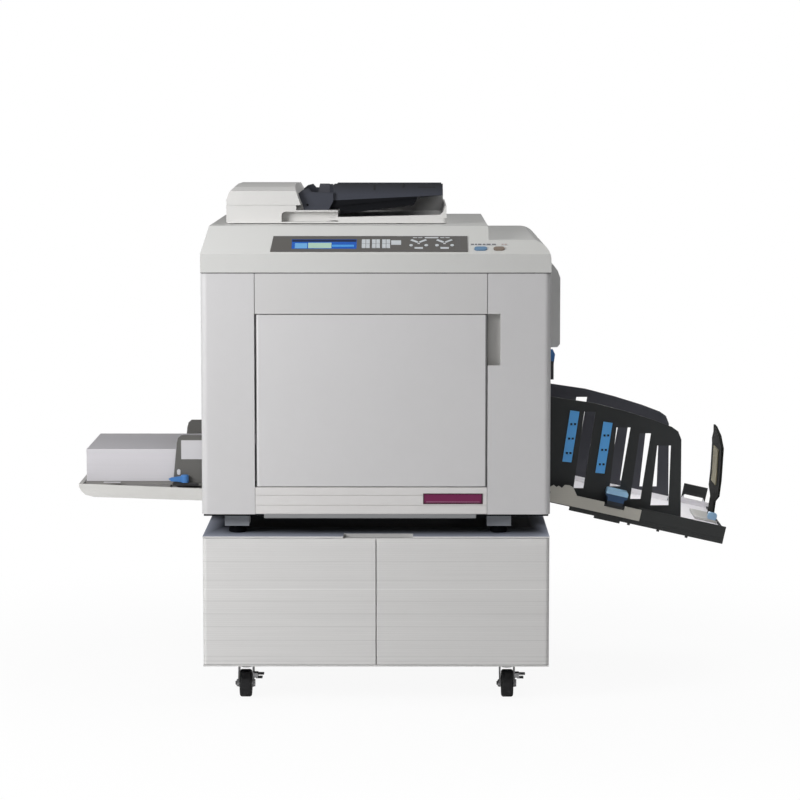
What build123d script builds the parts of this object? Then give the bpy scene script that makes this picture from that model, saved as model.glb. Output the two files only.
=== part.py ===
from build123d import *
import os
from math import atan2, cos, sin, tan, radians

os.makedirs("parts", exist_ok=True)

# A floor-standing digital duplicator with its document feeder, trays and cabinet stand.
# Millimetres. X runs to the right, the front faces -Y, z is 0 on the floor.
# The origin is on the floor below the middle of the whole outline.

# Main body
BODY_LEFT = -429.0
BODY_RIGHT = 315.0
BODY_FRONT = -367.5
BODY_BACK = 367.5
BODY_FOOT = 412.0
BODY_TOP = 928.0
COVER_BACK = 326.0
CORNER = 14.0
SKIN = 4.0
SEAM = 0.8
JAMB_DEPTH = 22.0
OVER = 1.0

# Front door between the two columns
DOOR_LEFT = -315.3
DOOR_RIGHT = 180.4
DOOR_FOOT = 470.0
DOOR_TOP = 841.0
DOOR_THICK = 16.0
DOOR_GAP = 2.0
SKIRT_GROOVES = (431.0, 452.5)
GROOVE = 1.2
POCKET_RIGHT = 207.6
POCKET_FOOT = 731.0
POCKET_DEPTH = 25.0
INLET_PLACE = (-340.0, 480.0)
INLET_HALF = 24.5
WING_X = BODY_RIGHT + 10
WING_Y = -172.0
WING_Z = 716.0
WING_PIN_R = 2.5
PIN_R = 3.0
RUNNING_FIT = 0.05

# Scanner housing with its sloping control deck
DECK_FOOT = 968.0
HOUSING_TOP = 1023.0
DECK_RUN = 99.5
SHELF_TOP = 995.0
STEP_X = 183.0
SIDE_DRAFT = 13.0
SHELF_EDGE_R = 40.0
GLASS_LEFT = -367.0
GLASS_RIGHT = 73.0
GLASS_FRONT = -160.0
GLASS_BACK = 150.0
DECK_TILT = atan2(HOUSING_TOP - DECK_FOOT, DECK_RUN)
DECK = Plane(
    origin=(0, BODY_FRONT, DECK_FOOT),
    x_dir=(1, 0, 0),
    z_dir=(0, -sin(DECK_TILT), cos(DECK_TILT)),
)

# Keys and panel, measured along the deck from its front edge
PANEL_THICK = 1.5
PANEL_LOW = 8.0
PANEL_HIGH = 70.0
PANEL_LEFT = -281.0
PANEL_RIGHT = 138.0
PANEL_SLANT = 5.0
LCD_LEFT = -236.0
LCD_RIGHT = -98.0
LCD_LOW = 18.6
LCD_HIGH = 56.4
KEY_ROW = 20.0
CAP_HIGH = 1.0
KEY_BLOCK_XS = (-87.0, -65.4, -43.8)
KEY_BLOCK_ROWS = (21.0, 39.0)
LAST_BLOCK = (-24.5, 34.0, 21.0, 17.0)
CLUSTER_XS = (34.0, 89.0)
BAR_KEYS = ((144.0, 199.0), (209.0, 222.0))
START_KEY = (165.5, 27.0, 13.0)
STOP_KEY = (204.5, 23.0, 13.0)
KEY_PROUD = 2.5
KEY_DEEP = 5.0
KEY_GAP = 0.5

# Cabinet stand
STAND_LEFT = -428.0
STAND_RIGHT = 314.0
STAND_BACK = 332.5
STAND_FOOT = 82.0
STAND_TOP = 364.0
STAND_EDGE = -346.0
STAND_WALL = 16.0
LIP = 3.0
STAND_DOOR = 18.0
STAND_MIDDLE = -57.0
NOTCH_LEFT = -127.0
NOTCH_RIGHT = 22.0
NOTCH_DEEP = 43.0

# Casters
CASTER_XS = (-341.0, 227.0)
CASTER_YS = (-260.0, 275.0)
TRAIL = 25.0
WHEEL_R = 30.0
WHEEL_WIDE = 26.0
FORK_HALF = 17.0
FORK_LEG = 3.0
AXLE_R = 4.0
KINGPIN_R = 6.0
BRAKE_PIN_R = 2.0

# Feet under the body
FOOT_XS = (-356.6, 207.0)
FOOT_YS = (-295.0, 290.0)
FOOT_R = 19.0
FOOT_TOP = 381.0
BASE_FOOT = 408.0
BASE_TOP = 412.0

# Steel frame and the print engine
FRAME_Y = 246.0
FRAME_SHEET = 4.0
FRAME_LEFT = -415.0
FRAME_RIGHT = 300.0
FRAME_TOP = 920.0
STAY_BARS = ((-380.0, 890.0), (165.0, 895.0), (-250.0, 430.0), (280.0, 430.0))
DRUM_XS = (-177.0, 43.0)
DRUM_Z = 692.0
DRUM_R = 90.0
DRUM_HALF = 160.0
DRUM_WALL = 2.5
DRUM_END_R = 96.0
DRUM_END_Y = -290.0
HUB_R = 40.0
INK_R = 32.0
INK_PLAY = 0.5
SPINDLE_R = 8.0
DRUM_UNIT_BACK = 220.0
DRUM_END_ROOM = 12.0
PRESS_R = 25.0
PRESS_GAP = 2.0
PRESS_Z = DRUM_Z - DRUM_R - PRESS_R - PRESS_GAP
JOURNAL_R = 6.0
BELT_FOOT = 566.0
BELT_TOP = 594.0
FEED_ROLLER_X = -392.0
FEED_ROLLER_R = 20.0
FEED_ROLLER_Z = 620.5

# Document feeder
LID_LEFT = -384.0
LID_RIGHT = 95.0
LID_FRONT = -187.0
LID_BACK = 243.0
LID_FOOT = 1025.0
LID_FLOOR = 1036.0
LID_LEDGE = 1053.0
LID_BLOCK_RIGHT = -232.0
LID_ROUND = 8.0
EXIT_LEFT = -142.0
EAR_INSET = 14.0
SMALL_PIN_R = 2.5
CHEEK = 5.0
LID_SPLIT = 1064.0
TOP_COVER_RIGHT = -222.0
TOP_COVER_FRONT_TOP = 1095.0
TOP_COVER_CROWN = 1108.0
TOP_COVER_REAR = 1103.0
TOP_COVER_LEAN = 6.0
TOP_SEAM = 0.4
TOP_COVER_SKIN = 3.0
TOP_HINGE_R = 6.0
LID_HINGE_Y = 262.0
LID_HINGE_Z = 1035.0
LID_HINGE_R = 5.0
LID_HINGE_XS = (-315.0, 35.0)
TRAY_LEFT = -214.0
TRAY_RIGHT = 87.0
TRAY_LOW = 1062.0
TRAY_HIGH = 1092.0
TRAY_HALF = 158.0
ADF_ROLLER_X = -262.0
ADF_ROLLER_Z = 1079.0
ADF_SHAFT_R = 3.0
GUIDE_LEFT = -186.0
GUIDE_RIGHT = -160.0

# Feed side
STACK_LEFT = -698.0
STACK_RIGHT = -278.0
STACK_HALF = 148.5
STACK_FOOT = 454.6
STACK_TOP = 525.5
FEED_LEFT = -711.0
FEED_HALF = 190.0
FEED_LOW = 419.5
FEED_TOP = 448.0
PLATFORM_TOP = 454.0
FEED_GUIDE_Y = 152.0
FEED_GUIDE_TOP = 557.0
MOUTH_HALF = 175.0
LOCK_X = -480.0
LOCK_Y = -167.0
LOCK_Z = 456.0

# Receiving side: the tray slopes down to the right from a corner beside the body
RECEIVE_X = 321.0
RECEIVE_Z = 432.0
RECEIVE_FALL = radians(12.5)
RECEIVE_LONG = 396.0
RECEIVE_HALF = 190.0
RECEIVE = Plane(
    origin=(RECEIVE_X, 0, RECEIVE_Z),
    x_dir=(cos(RECEIVE_FALL), 0, -sin(RECEIVE_FALL)),
    z_dir=(sin(RECEIVE_FALL), 0, cos(RECEIVE_FALL)),
)
GUIDE_Y = 154.0
GUIDE_SHEET = 4.0
END_GUIDE_X = 692.0
END_GUIDE_TALL = 206.0
GUIDE_END_X = 613.0
GRIP_LEFT = 122.0
GRIP_RIGHT = 170.0
GRIP_REACH = 194.0
GRIP_FOOT = 0.5
# Each leaning window: its foot height with left and right, then its top height with left and right
GUIDE_WINDOWS = (
    (440.0, 376.0, 398.0, 610.0, 399.0, 424.0),
    (444.0, 456.0, 479.0, 575.0, 470.0, 501.0),
    (416.0, 501.0, 524.0, 562.0, 521.0, 546.0),
    (402.0, 546.0, 586.0, 535.0, 560.0, 590.0),
)


def block(low, high):
    """A box between its lowest and highest corners."""
    size = [b - a for a, b in zip(low, high)]
    middle = [(a + b) / 2 for a, b in zip(low, high)]
    return Pos(*middle) * Box(*size)


def rod(start, end, radius):
    """A round bar between two points."""
    line = Vector(*end) - Vector(*start)
    bottom = (Align.CENTER, Align.CENTER, Align.MIN)
    return Plane(origin=start, z_dir=line) * Cylinder(radius, line.length, align=bottom)


def run_x(points, left, right):
    """Run a closed outline of (y, z) points from left to right."""
    outline = Polyline([(left, y, z) for y, z in points], close=True)
    return extrude(make_face(outline), amount=right - left, dir=(1, 0, 0))


def run_y(points, front, back):
    """Run a closed outline of (x, z) points from front to back."""
    outline = Polyline([(x, front, z) for x, z in points], close=True)
    return extrude(make_face(outline), amount=back - front, dir=(0, 1, 0))


def on_tray(low, high):
    """A box in the receiving tray's own frame: along it, across it, and up from it."""
    return RECEIVE * block(low, high)


def soften(solid, radius, axis, place):
    """Round the one edge along an axis that lies nearest a point."""
    edge = solid.edges().filter_by(axis).sort_by_distance(place)[0]
    return fillet(edge, radius)


def soften_all(solid, radius, axis):
    """Round every edge along an axis."""
    return fillet(solid.edges().filter_by(axis), radius)


# Casters


def caster_spots():
    """Name and swivel centre of each caster."""
    names = ("front_left", "front_right", "rear_left", "rear_right")
    places = [(x, y) for y in CASTER_YS for x in CASTER_XS]
    return list(zip(names, places))


def caster_plates():
    """Four square plates under the cabinet, each with the bore for a kingpin."""
    half = 31.0
    thick = 6.0
    plates = Part()
    for _, (x, y) in caster_spots():
        plate = block((x - half, y - half, STAND_FOOT - thick), (x + half, y + half, STAND_FOOT))
        plate = soften_all(plate, 5.0, Axis.Z)
        bore = rod((x, y, STAND_FOOT - thick - OVER), (x, y, STAND_FOOT + OVER), KINGPIN_R + RUNNING_FIT)
        plates += plate - bore
    return plates


def caster_fork(x, y):
    """A pressed fork: kingpin, head, two legs and the axle between them."""
    head_low = 69.0
    head_high = 74.5
    head_r = 24.0
    eye_r = 9.0
    axle_y = y - TRAIL
    fork = rod((x, y, head_low), (x, y, head_high), head_r)
    fork += rod((x, y, head_high), (x, y, STAND_FOOT - OVER), KINGPIN_R)
    leg_line = [
        (y - head_r * 0.8, head_high),
        (y + head_r * 0.6, head_high),
        (y + head_r * 0.5, WHEEL_R + 16),
        (axle_y + eye_r, WHEEL_R - 2),
        (axle_y, WHEEL_R - eye_r),
        (axle_y - eye_r, WHEEL_R),
    ]
    for side in (-1, 1):
        inner = x + side * (FORK_HALF - FORK_LEG)
        outer = x + side * FORK_HALF
        fork += run_x(leg_line, min(inner, outer), max(inner, outer))
        fork += rod((inner, axle_y, WHEEL_R), (outer + side * 3, axle_y, WHEEL_R), eye_r - 1)
    fork += rod((x - FORK_HALF, axle_y, WHEEL_R), (x + FORK_HALF, axle_y, WHEEL_R), AXLE_R)
    return fork


def brake_pivot(x, y):
    """Centre of a brake lever's pin, beside the fork's right leg."""
    aside = 5.0
    behind = 6.0
    high = 47.0
    return (x + FORK_HALF + aside, y - TRAIL + behind, high)


def caster_fork_with_brake(x, y):
    """A front fork also has two lugs and the pin that a brake lever turns on."""
    lug_near = 9.0
    lug_far = 12.0
    lug_half = 5.0
    px, py, pz = brake_pivot(x, y)
    fork = caster_fork(x, y)
    for side in (-1, 1):
        near, far = sorted((py + side * lug_near, py + side * lug_far))
        fork += block((x + FORK_HALF - OVER, near, pz - lug_half), (px + lug_half - 1, far, pz + lug_half))
    return fork + rod((px, py - lug_far, pz), (px, py + lug_far, pz), BRAKE_PIN_R)


def brake_lever(x, y):
    """A two-pronged foot lever on its pin."""
    px, py, pz = brake_pivot(x, y)
    half = 8.0
    reach = 17.0
    prong = 3.0
    top = pz + 4
    foot = pz - 7
    lever = rod((px, py - half, pz), (px, py + half, pz), 2 * BRAKE_PIN_R)
    lever += block((px, py - half, top - prong), (px + reach, py + half, top))
    lever += block((px, py - half, foot), (px + reach * 0.8, py + half, foot + prong))
    lever += block((px, py - half, foot), (px + prong, py + half, top))
    bore_r = BRAKE_PIN_R + RUNNING_FIT
    return lever - rod((px, py - half - OVER, pz), (px, py + half + OVER, pz), bore_r)


def caster_wheel(x, y):
    """A solid wheel with rounded shoulders and a bored hub."""
    axle_y = y - TRAIL
    half = WHEEL_WIDE / 2
    wheel = rod((x - half, axle_y, WHEEL_R), (x + half, axle_y, WHEEL_R), WHEEL_R)
    wheel = fillet(wheel.edges().filter_by(GeomType.CIRCLE), 5.0)
    for side in (-1, 1):
        rim = x + side * (half - 2)
        wheel -= rod((rim, axle_y, WHEEL_R), (x + side * (half + OVER), axle_y, WHEEL_R), 17.0)
    wheel += rod((x - half + 0.5, axle_y, WHEEL_R), (x + half - 0.5, axle_y, WHEEL_R), 8.0)
    bore_r = AXLE_R + RUNNING_FIT
    return wheel - rod((x - half - OVER, axle_y, WHEEL_R), (x + half + OVER, axle_y, WHEEL_R), bore_r)


# Cabinet


def cabinet_carcass():
    """Sides, bottom, back and top of the stand, with lips that carry the door pins."""
    carcass = block((STAND_LEFT, STAND_EDGE, STAND_FOOT), (STAND_RIGHT, STAND_BACK, STAND_TOP))
    carcass -= block(
        (STAND_LEFT + STAND_WALL, STAND_EDGE - OVER, STAND_FOOT + STAND_WALL),
        (STAND_RIGHT - STAND_WALL, STAND_BACK - SKIN, STAND_TOP - STAND_WALL),
    )
    for foot in (STAND_FOOT, STAND_TOP - LIP):
        carcass += block((STAND_LEFT, BODY_FRONT, foot), (STAND_RIGHT, STAND_EDGE, foot + LIP))
    carcass -= block(
        (NOTCH_LEFT, BODY_FRONT - OVER, STAND_TOP - STAND_WALL - OVER),
        (NOTCH_RIGHT, BODY_FRONT + NOTCH_DEEP, STAND_TOP + OVER),
    )
    for x in door_hinge_xs():
        for foot in (STAND_FOOT + LIP, STAND_TOP - LIP - 9):
            carcass += rod((x, door_hinge_y(), foot), (x, door_hinge_y(), foot + 9), PIN_R)
    return carcass


def door_hinge_y():
    """Y of both cabinet door pins: the middle of a door's thickness."""
    return BODY_FRONT + STAND_DOOR / 2


def door_hinge_xs():
    """X of the two cabinet door pins."""
    return (STAND_LEFT + STAND_DOOR / 2, STAND_RIGHT - STAND_DOOR / 2)


def cabinet_door(hinge_x, free_x):
    """A flat door whose hinge edge is a full round about its pins."""
    low = STAND_FOOT + LIP + 1
    high = STAND_TOP - LIP - 1
    left = min(hinge_x, free_x)
    right = max(hinge_x, free_x)
    door = block((left, BODY_FRONT, low), (right, BODY_FRONT + STAND_DOOR, high))
    door += rod((hinge_x, door_hinge_y(), low), (hinge_x, door_hinge_y(), high), STAND_DOOR / 2)
    for start, end in ((low - OVER, low + 10), (high - 10, high + OVER)):
        door -= rod((hinge_x, door_hinge_y(), start), (hinge_x, door_hinge_y(), end), PIN_R + RUNNING_FIT)
    return door


# Body covers and base


def base_frame():
    """The steel floor of the body with the four foot brackets below it."""
    half_x = 26.0
    half_y = 30.0
    plate = block(
        (BODY_LEFT + SKIN, BODY_FRONT + SKIN, BASE_FOOT),
        (BODY_RIGHT - SKIN, COVER_BACK, BASE_TOP),
    )
    for x in FOOT_XS:
        for y in FOOT_YS:
            plate += block((x - half_x, y - half_y, FOOT_TOP), (x + half_x, y + half_y, BASE_FOOT))
    return plate


def rubber_feet():
    """Four tapered rubber feet between the brackets and the cabinet top."""
    feet = Part()
    for x in FOOT_XS:
        for y in FOOT_YS:
            foot = rod((x, y, STAND_TOP), (x, y, FOOT_TOP), FOOT_R)
            feet += chamfer(foot.edges().filter_by(GeomType.CIRCLE).sort_by(Axis.Z)[0], 2.5)
    return feet


def side_shell(outer_x, inner_x):
    """A side cover: the side sheet, the front column and its jamb beside the door."""
    turn = 1 if outer_x < inner_x else -1
    low = BODY_FOOT
    high = BODY_TOP - SEAM
    jamb = BODY_FRONT + JAMB_DEPTH
    near = min(outer_x, inner_x)
    far = max(outer_x, inner_x)
    shell = block((near, BODY_FRONT, low), (far, COVER_BACK, high))
    shell = soften(shell, CORNER, Axis.Z, (outer_x, BODY_FRONT, (low + high) / 2))
    skin_x = outer_x + turn * SKIN
    jamb_x = inner_x - turn * SKIN
    cavity = block(
        (min(skin_x, jamb_x), BODY_FRONT + SKIN, low - OVER),
        (max(skin_x, jamb_x), jamb, high + OVER),
    )
    cavity = soften(cavity, CORNER - SKIN, Axis.Z, (skin_x, BODY_FRONT + SKIN, (low + high) / 2))
    past = inner_x + turn * OVER
    behind = block(
        (min(skin_x, past), jamb, low - OVER),
        (max(skin_x, past), COVER_BACK + OVER, high + OVER),
    )
    return shell - cavity - behind


def left_cover():
    """Left cover with the mouth that the paper goes in through."""
    cover = side_shell(BODY_LEFT, DOOR_LEFT)
    mouth_low = 428.0
    mouth_high = 640.0
    return cover - block(
        (BODY_LEFT - OVER, -MOUTH_HALF, mouth_low),
        (BODY_LEFT + SKIN + OVER, MOUTH_HALF, mouth_high),
    )


def right_cover():
    """Right cover with the finger pocket beside the door and the paper exit."""
    liner = 3.0
    exit_low = 440.0
    exit_high = 640.0
    cover = side_shell(BODY_RIGHT, DOOR_RIGHT)
    cover -= block(
        (BODY_RIGHT - SKIN - OVER, -MOUTH_HALF, exit_low),
        (BODY_RIGHT + OVER, MOUTH_HALF, exit_high),
    )
    pocket_back = BODY_FRONT + POCKET_DEPTH
    cover += block(
        (DOOR_RIGHT, BODY_FRONT + SKIN, POCKET_FOOT - liner),
        (POCKET_RIGHT + liner, pocket_back + liner, DOOR_TOP + liner),
    )
    return cover - block(
        (DOOR_RIGHT - OVER, BODY_FRONT - OVER, POCKET_FOOT),
        (POCKET_RIGHT, pocket_back, DOOR_TOP),
    )


def front_pan(low_z, high_z):
    """A fixed front panel: a face with a flange on every side."""
    left = DOOR_LEFT + SEAM
    right = DOOR_RIGHT - SEAM
    panel = block((left, BODY_FRONT, low_z), (right, BODY_FRONT + JAMB_DEPTH, high_z))
    return panel - block(
        (left + SKIN, BODY_FRONT + SKIN, low_z + SKIN),
        (right - SKIN, BODY_FRONT + JAMB_DEPTH + OVER, high_z - SKIN),
    )


def front_hinge():
    """X and Y of the front door's pins."""
    return (DOOR_LEFT + DOOR_GAP + DOOR_THICK / 2, BODY_FRONT + DOOR_THICK / 2)


def front_upper_panel():
    """The panel above the door, bored for the door's upper pin."""
    x, y = front_hinge()
    panel = front_pan(DOOR_TOP, BODY_TOP - SEAM)
    return panel - rod((x, y, DOOR_TOP - OVER), (x, y, DOOR_TOP + SKIN + OVER), PIN_R + RUNNING_FIT)


def front_skirt():
    """The panel below the door, with two fine grooves and the lower pin's bore."""
    x, y = front_hinge()
    skirt = front_pan(BODY_FOOT, DOOR_FOOT)
    for z in SKIRT_GROOVES:
        skirt -= block((BODY_LEFT, BODY_FRONT - OVER, z), (BODY_RIGHT, BODY_FRONT + GROOVE, z + GROOVE))
    skirt = soften(skirt, 3.0, Axis.X, (0, BODY_FRONT, BODY_FOOT))
    return skirt - rod((x, y, DOOR_FOOT - SKIN - OVER), (x, y, DOOR_FOOT + OVER), PIN_R + RUNNING_FIT)


def front_cover():
    """The door: a pan with a rim, full round at its hinge edge, and its two pins."""
    rim = 10.0
    x, y = front_hinge()
    right = DOOR_RIGHT - DOOR_GAP
    low = DOOR_FOOT + DOOR_GAP
    high = DOOR_TOP - DOOR_GAP
    pin = DOOR_GAP + SKIN - SEAM
    door = block((x, BODY_FRONT, low), (right, BODY_FRONT + DOOR_THICK, high))
    door += rod((x, y, low), (x, y, high), DOOR_THICK / 2)
    door -= block(
        (x + rim, BODY_FRONT + SKIN, low + rim),
        (right - rim, BODY_FRONT + DOOR_THICK + OVER, high - rim),
    )
    door += rod((x, y, high - OVER), (x, y, high + pin), PIN_R)
    return door + rod((x, y, low - pin), (x, y, low + OVER), PIN_R)


def rear_cover():
    """The back panel with its two groups of vents and the power inlet's hole."""
    slots = 9
    slot_pitch = 14.0
    slot_high = 6.0
    slot_long = 120.0
    slot_foot = 700.0
    high = BODY_TOP - SEAM
    cover = block((BODY_LEFT, COVER_BACK, BODY_FOOT), (BODY_RIGHT, BODY_BACK, high))
    for x in (BODY_LEFT, BODY_RIGHT):
        cover = soften(cover, CORNER, Axis.Z, (x, BODY_BACK, high))
    inside = block(
        (BODY_LEFT + SKIN, COVER_BACK - OVER, BODY_FOOT + SKIN),
        (BODY_RIGHT - SKIN, BODY_BACK - SKIN, high - SKIN),
    )
    for x in (BODY_LEFT + SKIN, BODY_RIGHT - SKIN):
        inside = soften(inside, CORNER - SKIN, Axis.Z, (x, BODY_BACK - SKIN, high))
    cover -= inside
    for left in (-340.0, 120.0):
        for row in range(slots):
            z = slot_foot + row * slot_pitch
            cover -= block(
                (left, BODY_BACK - SKIN - OVER, z),
                (left + slot_long, BODY_BACK + OVER, z + slot_high),
            )
    x, z = INLET_PLACE
    return cover - block(
        (x - INLET_HALF, BODY_BACK - SKIN - OVER, z - INLET_HALF / 1.5),
        (x + INLET_HALF, BODY_BACK + OVER, z + INLET_HALF / 1.5),
    )


def power_inlet():
    """The mains socket in the back panel, with its three blades."""
    x, z = INLET_PLACE
    half_z = INLET_HALF / 1.5
    deep = 22.0
    hole_x = 14.0
    hole_z = 10.0
    blade_x = 1.0
    blade_z = 2.5
    front = BODY_BACK - deep
    inlet = block((x - INLET_HALF, front, z - half_z), (x + INLET_HALF, BODY_BACK - 0.5, z + half_z))
    inlet -= block((x - hole_x, front + 5, z - hole_z), (x + hole_x, BODY_BACK + OVER, z + hole_z))
    for dx, dz in ((-7, -3), (7, -3), (0, 4)):
        low = (x + dx - blade_x, front + 4, z + dz - blade_z)
        inlet += block(low, (x + dx + blade_x, BODY_BACK - 5, z + dz + blade_z))
    return inlet


def side_housing():
    """The shallow housing on the right side, next to the scanner."""
    wide = 29.0
    low = 753.0
    high = 939.0
    front = -170.0
    back = 200.0
    line = [
        (BODY_RIGHT, low),
        (BODY_RIGHT + wide - 6, low),
        (BODY_RIGHT + wide, low + 7),
        (BODY_RIGHT + wide, high - 34),
        (BODY_RIGHT + wide - 6, high - 18),
        (BODY_RIGHT + wide - 15, high - 6),
        (BODY_RIGHT, high),
    ]
    return run_y(line, front, back)


def wing_lever_mount():
    """Black bracket on the right side that holds the small blue lever."""
    foot = 683.0
    reach = 15.0
    half = 8.0
    ear_inner = 5.5
    bracket = block((BODY_RIGHT, WING_Y - half, foot), (BODY_RIGHT + reach, WING_Y + half, WING_Z - half))
    for side in (-1, 1):
        near, far = sorted((WING_Y + side * ear_inner, WING_Y + side * half))
        bracket += block((BODY_RIGHT, near, WING_Z - 9), (BODY_RIGHT + reach, far, WING_Z + 7))
    return bracket + rod((WING_X, WING_Y - half, WING_Z), (WING_X, WING_Y + half, WING_Z), WING_PIN_R)


def wing_lever():
    """The blue lever that sets the paper exit wings."""
    half = 5.0
    high = 33.0
    lever = rod((WING_X, WING_Y - half, WING_Z), (WING_X, WING_Y + half, WING_Z), half)
    arm = [
        (WING_X - half, WING_Z),
        (WING_X + half, WING_Z),
        (WING_X + 8, WING_Z + 22),
        (WING_X + 3, WING_Z + high),
        (WING_X - 4, WING_Z + high),
    ]
    lever += run_y(arm, WING_Y - half, WING_Y + half)
    start = (WING_X, WING_Y - half - OVER, WING_Z)
    return lever - rod(start, (WING_X, WING_Y + half + OVER, WING_Z), WING_PIN_R + RUNNING_FIT)


# Scanner housing and controls


def housing_outline(top, inset):
    """Side outline of the housing below a top height, drawn in by an inset."""
    slope = tan(DECK_TILT)
    drop = inset / cos(DECK_TILT)
    front = BODY_FRONT + inset
    back = BODY_BACK - inset
    roof = top - inset
    foot = BODY_TOP - (OVER if inset else 0)
    return [
        (front, foot),
        (front, DECK_FOOT + inset * slope - drop),
        (BODY_FRONT + (roof - DECK_FOOT + drop) / slope, roof),
        (back, roof),
        (back, foot),
    ]


def key_shape(key, grow, low, high):
    """An oval block on the deck for a key or its hole."""
    x, wide, tall = key
    oval = SlotOverall(wide + 2 * grow, tall + 2 * grow)
    return DECK * (Pos(x, KEY_ROW, low) * extrude(oval, amount=high - low))


def rounded_right(inset):
    """The space under the large round of the housing's right edge, drawn in by an inset."""
    low = (BODY_LEFT, BODY_FRONT, BODY_TOP - OVER)
    high = (BODY_RIGHT - inset, BODY_BACK, SHELF_TOP - inset)
    return soften(block(low, high), SHELF_EDGE_R - inset, Axis.Y, (high[0], 0, high[2]))


def scanner_housing():
    """The housing below the document lid, open below, with window and key holes."""
    inner_left = BODY_LEFT + SIDE_DRAFT + SKIN
    raised = run_x(housing_outline(HOUSING_TOP, 0), BODY_LEFT, STEP_X)
    shelf = run_x(housing_outline(SHELF_TOP, 0), STEP_X, BODY_RIGHT)
    hollow = run_x(housing_outline(HOUSING_TOP, SKIN), inner_left, STEP_X - SKIN)
    low_hollow = run_x(housing_outline(SHELF_TOP, SKIN), inner_left, BODY_RIGHT - SKIN)
    draft = [
        (BODY_LEFT - OVER, DECK_FOOT - OVER),
        (BODY_LEFT, DECK_FOOT),
        (BODY_LEFT + SIDE_DRAFT, HOUSING_TOP + OVER),
        (BODY_LEFT - OVER, HOUSING_TOP + OVER),
    ]
    housing = raised + (shelf & rounded_right(0)) - run_y(draft, BODY_FRONT - OVER, BODY_BACK + OVER)
    housing = housing - hollow - (low_hollow & rounded_right(SKIN))
    ledge = 5.0
    deep = 6.0
    window_low = (GLASS_LEFT, GLASS_FRONT, HOUSING_TOP - SKIN)
    window_high = (GLASS_RIGHT, GLASS_BACK, HOUSING_TOP + OVER)
    housing += block(
        (GLASS_LEFT - ledge, GLASS_FRONT - ledge, HOUSING_TOP - SKIN - deep),
        (GLASS_RIGHT + ledge, GLASS_BACK + ledge, HOUSING_TOP - SKIN),
    )
    housing -= block(
        (GLASS_LEFT + ledge, GLASS_FRONT + ledge, HOUSING_TOP - SKIN - deep - OVER),
        (GLASS_RIGHT - ledge, GLASS_BACK - ledge, HOUSING_TOP),
    )
    housing -= block(window_low, window_high)
    for key in (START_KEY, STOP_KEY):
        housing -= key_shape(key, KEY_GAP, -SKIN - OVER, OVER)
    return housing


def stage_glass():
    """The sheet of glass that originals are laid on."""
    return block((GLASS_LEFT, GLASS_FRONT, HOUSING_TOP - SKIN), (GLASS_RIGHT, GLASS_BACK, HOUSING_TOP))


def scan_carriage():
    """The lamp and sensor bar below the glass, on its slide rods."""
    bar_x = -330.0
    bar_wide = 40.0
    bar_tall = 22.0
    lamp_inset = 14.0
    lamp_tall = 2.0
    rod_inset = 30.0
    rod_z = 993.0
    rod_r = 4.0
    low = 985.0
    top = low + bar_tall
    carriage = block((bar_x, GLASS_FRONT + 10, low), (bar_x + bar_wide, GLASS_BACK - 10, top))
    carriage += block(
        (bar_x + lamp_inset, GLASS_FRONT + lamp_inset, top),
        (bar_x + bar_wide - lamp_inset, GLASS_BACK - lamp_inset, top + lamp_tall),
    )
    for y in (GLASS_FRONT + rod_inset, GLASS_BACK - rod_inset):
        carriage += rod((BODY_LEFT + SIDE_DRAFT + SKIN, y, rod_z), (STEP_X - SKIN, y, rod_z), rod_r)
    return carriage


def control_panel():
    """The dark plate on the deck, with the window of the display."""
    outline = Polyline(
        (PANEL_LEFT, PANEL_LOW),
        (PANEL_RIGHT, PANEL_LOW),
        (PANEL_RIGHT, PANEL_HIGH),
        (PANEL_LEFT + PANEL_SLANT, PANEL_HIGH),
        close=True,
    )
    plate = DECK * extrude(make_face(outline), amount=PANEL_THICK)
    window = DECK * block((LCD_LEFT, LCD_LOW, -OVER), (LCD_RIGHT, LCD_HIGH, PANEL_THICK + OVER))
    return plate - window


def lcd_screen():
    """The display, flush in the panel's window."""
    return DECK * block((LCD_LEFT, LCD_LOW, 0), (LCD_RIGHT, LCD_HIGH, PANEL_THICK - 0.4))


def keypad_caps():
    """The small fixed membrane keys on the panel and to its right."""
    low = PANEL_THICK
    high = PANEL_THICK + CAP_HIGH
    wide = 8.0
    tall = 16.0
    step = 9.0
    bar_low = 34.0
    bar_high = 40.0
    caps = Part()
    for left in KEY_BLOCK_XS:
        for foot in KEY_BLOCK_ROWS:
            for side in (0, step):
                caps += DECK * block((left + side, foot, low), (left + side + wide, foot + tall, high))
    left, foot, last_wide, last_tall = LAST_BLOCK
    caps += DECK * block((left, foot, low), (left + last_wide, foot + last_tall, high))
    for x in CLUSTER_XS:
        caps += arrow_cluster(x, low)
    for left, right in BAR_KEYS:
        caps += DECK * block((left, bar_low, 0), (right, bar_high, CAP_HIGH))
    return caps


def arrow_cluster(x, low):
    """Five small keys round a point: two round, two slanting and one bar."""
    long = 17.0
    thin = 5.0
    foot = 18.0
    half = 9.0
    dot_z = 32.0
    slant_z = 49.0
    slant = 35.0
    cluster = DECK * block((x - half, foot, low), (x + half, foot + 6, low + CAP_HIGH))
    for side in (-1, 1):
        dot = Pos(x + side * 16, dot_z, low) * extrude(Circle(4.0), amount=CAP_HIGH)
        bar = extrude(Rectangle(long, thin), amount=CAP_HIGH)
        cluster += DECK * (dot + Pos(x + side * half, slant_z, low) * Rot(0, 0, side * slant) * bar)
    return cluster


# Print engine inside the body


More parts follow.
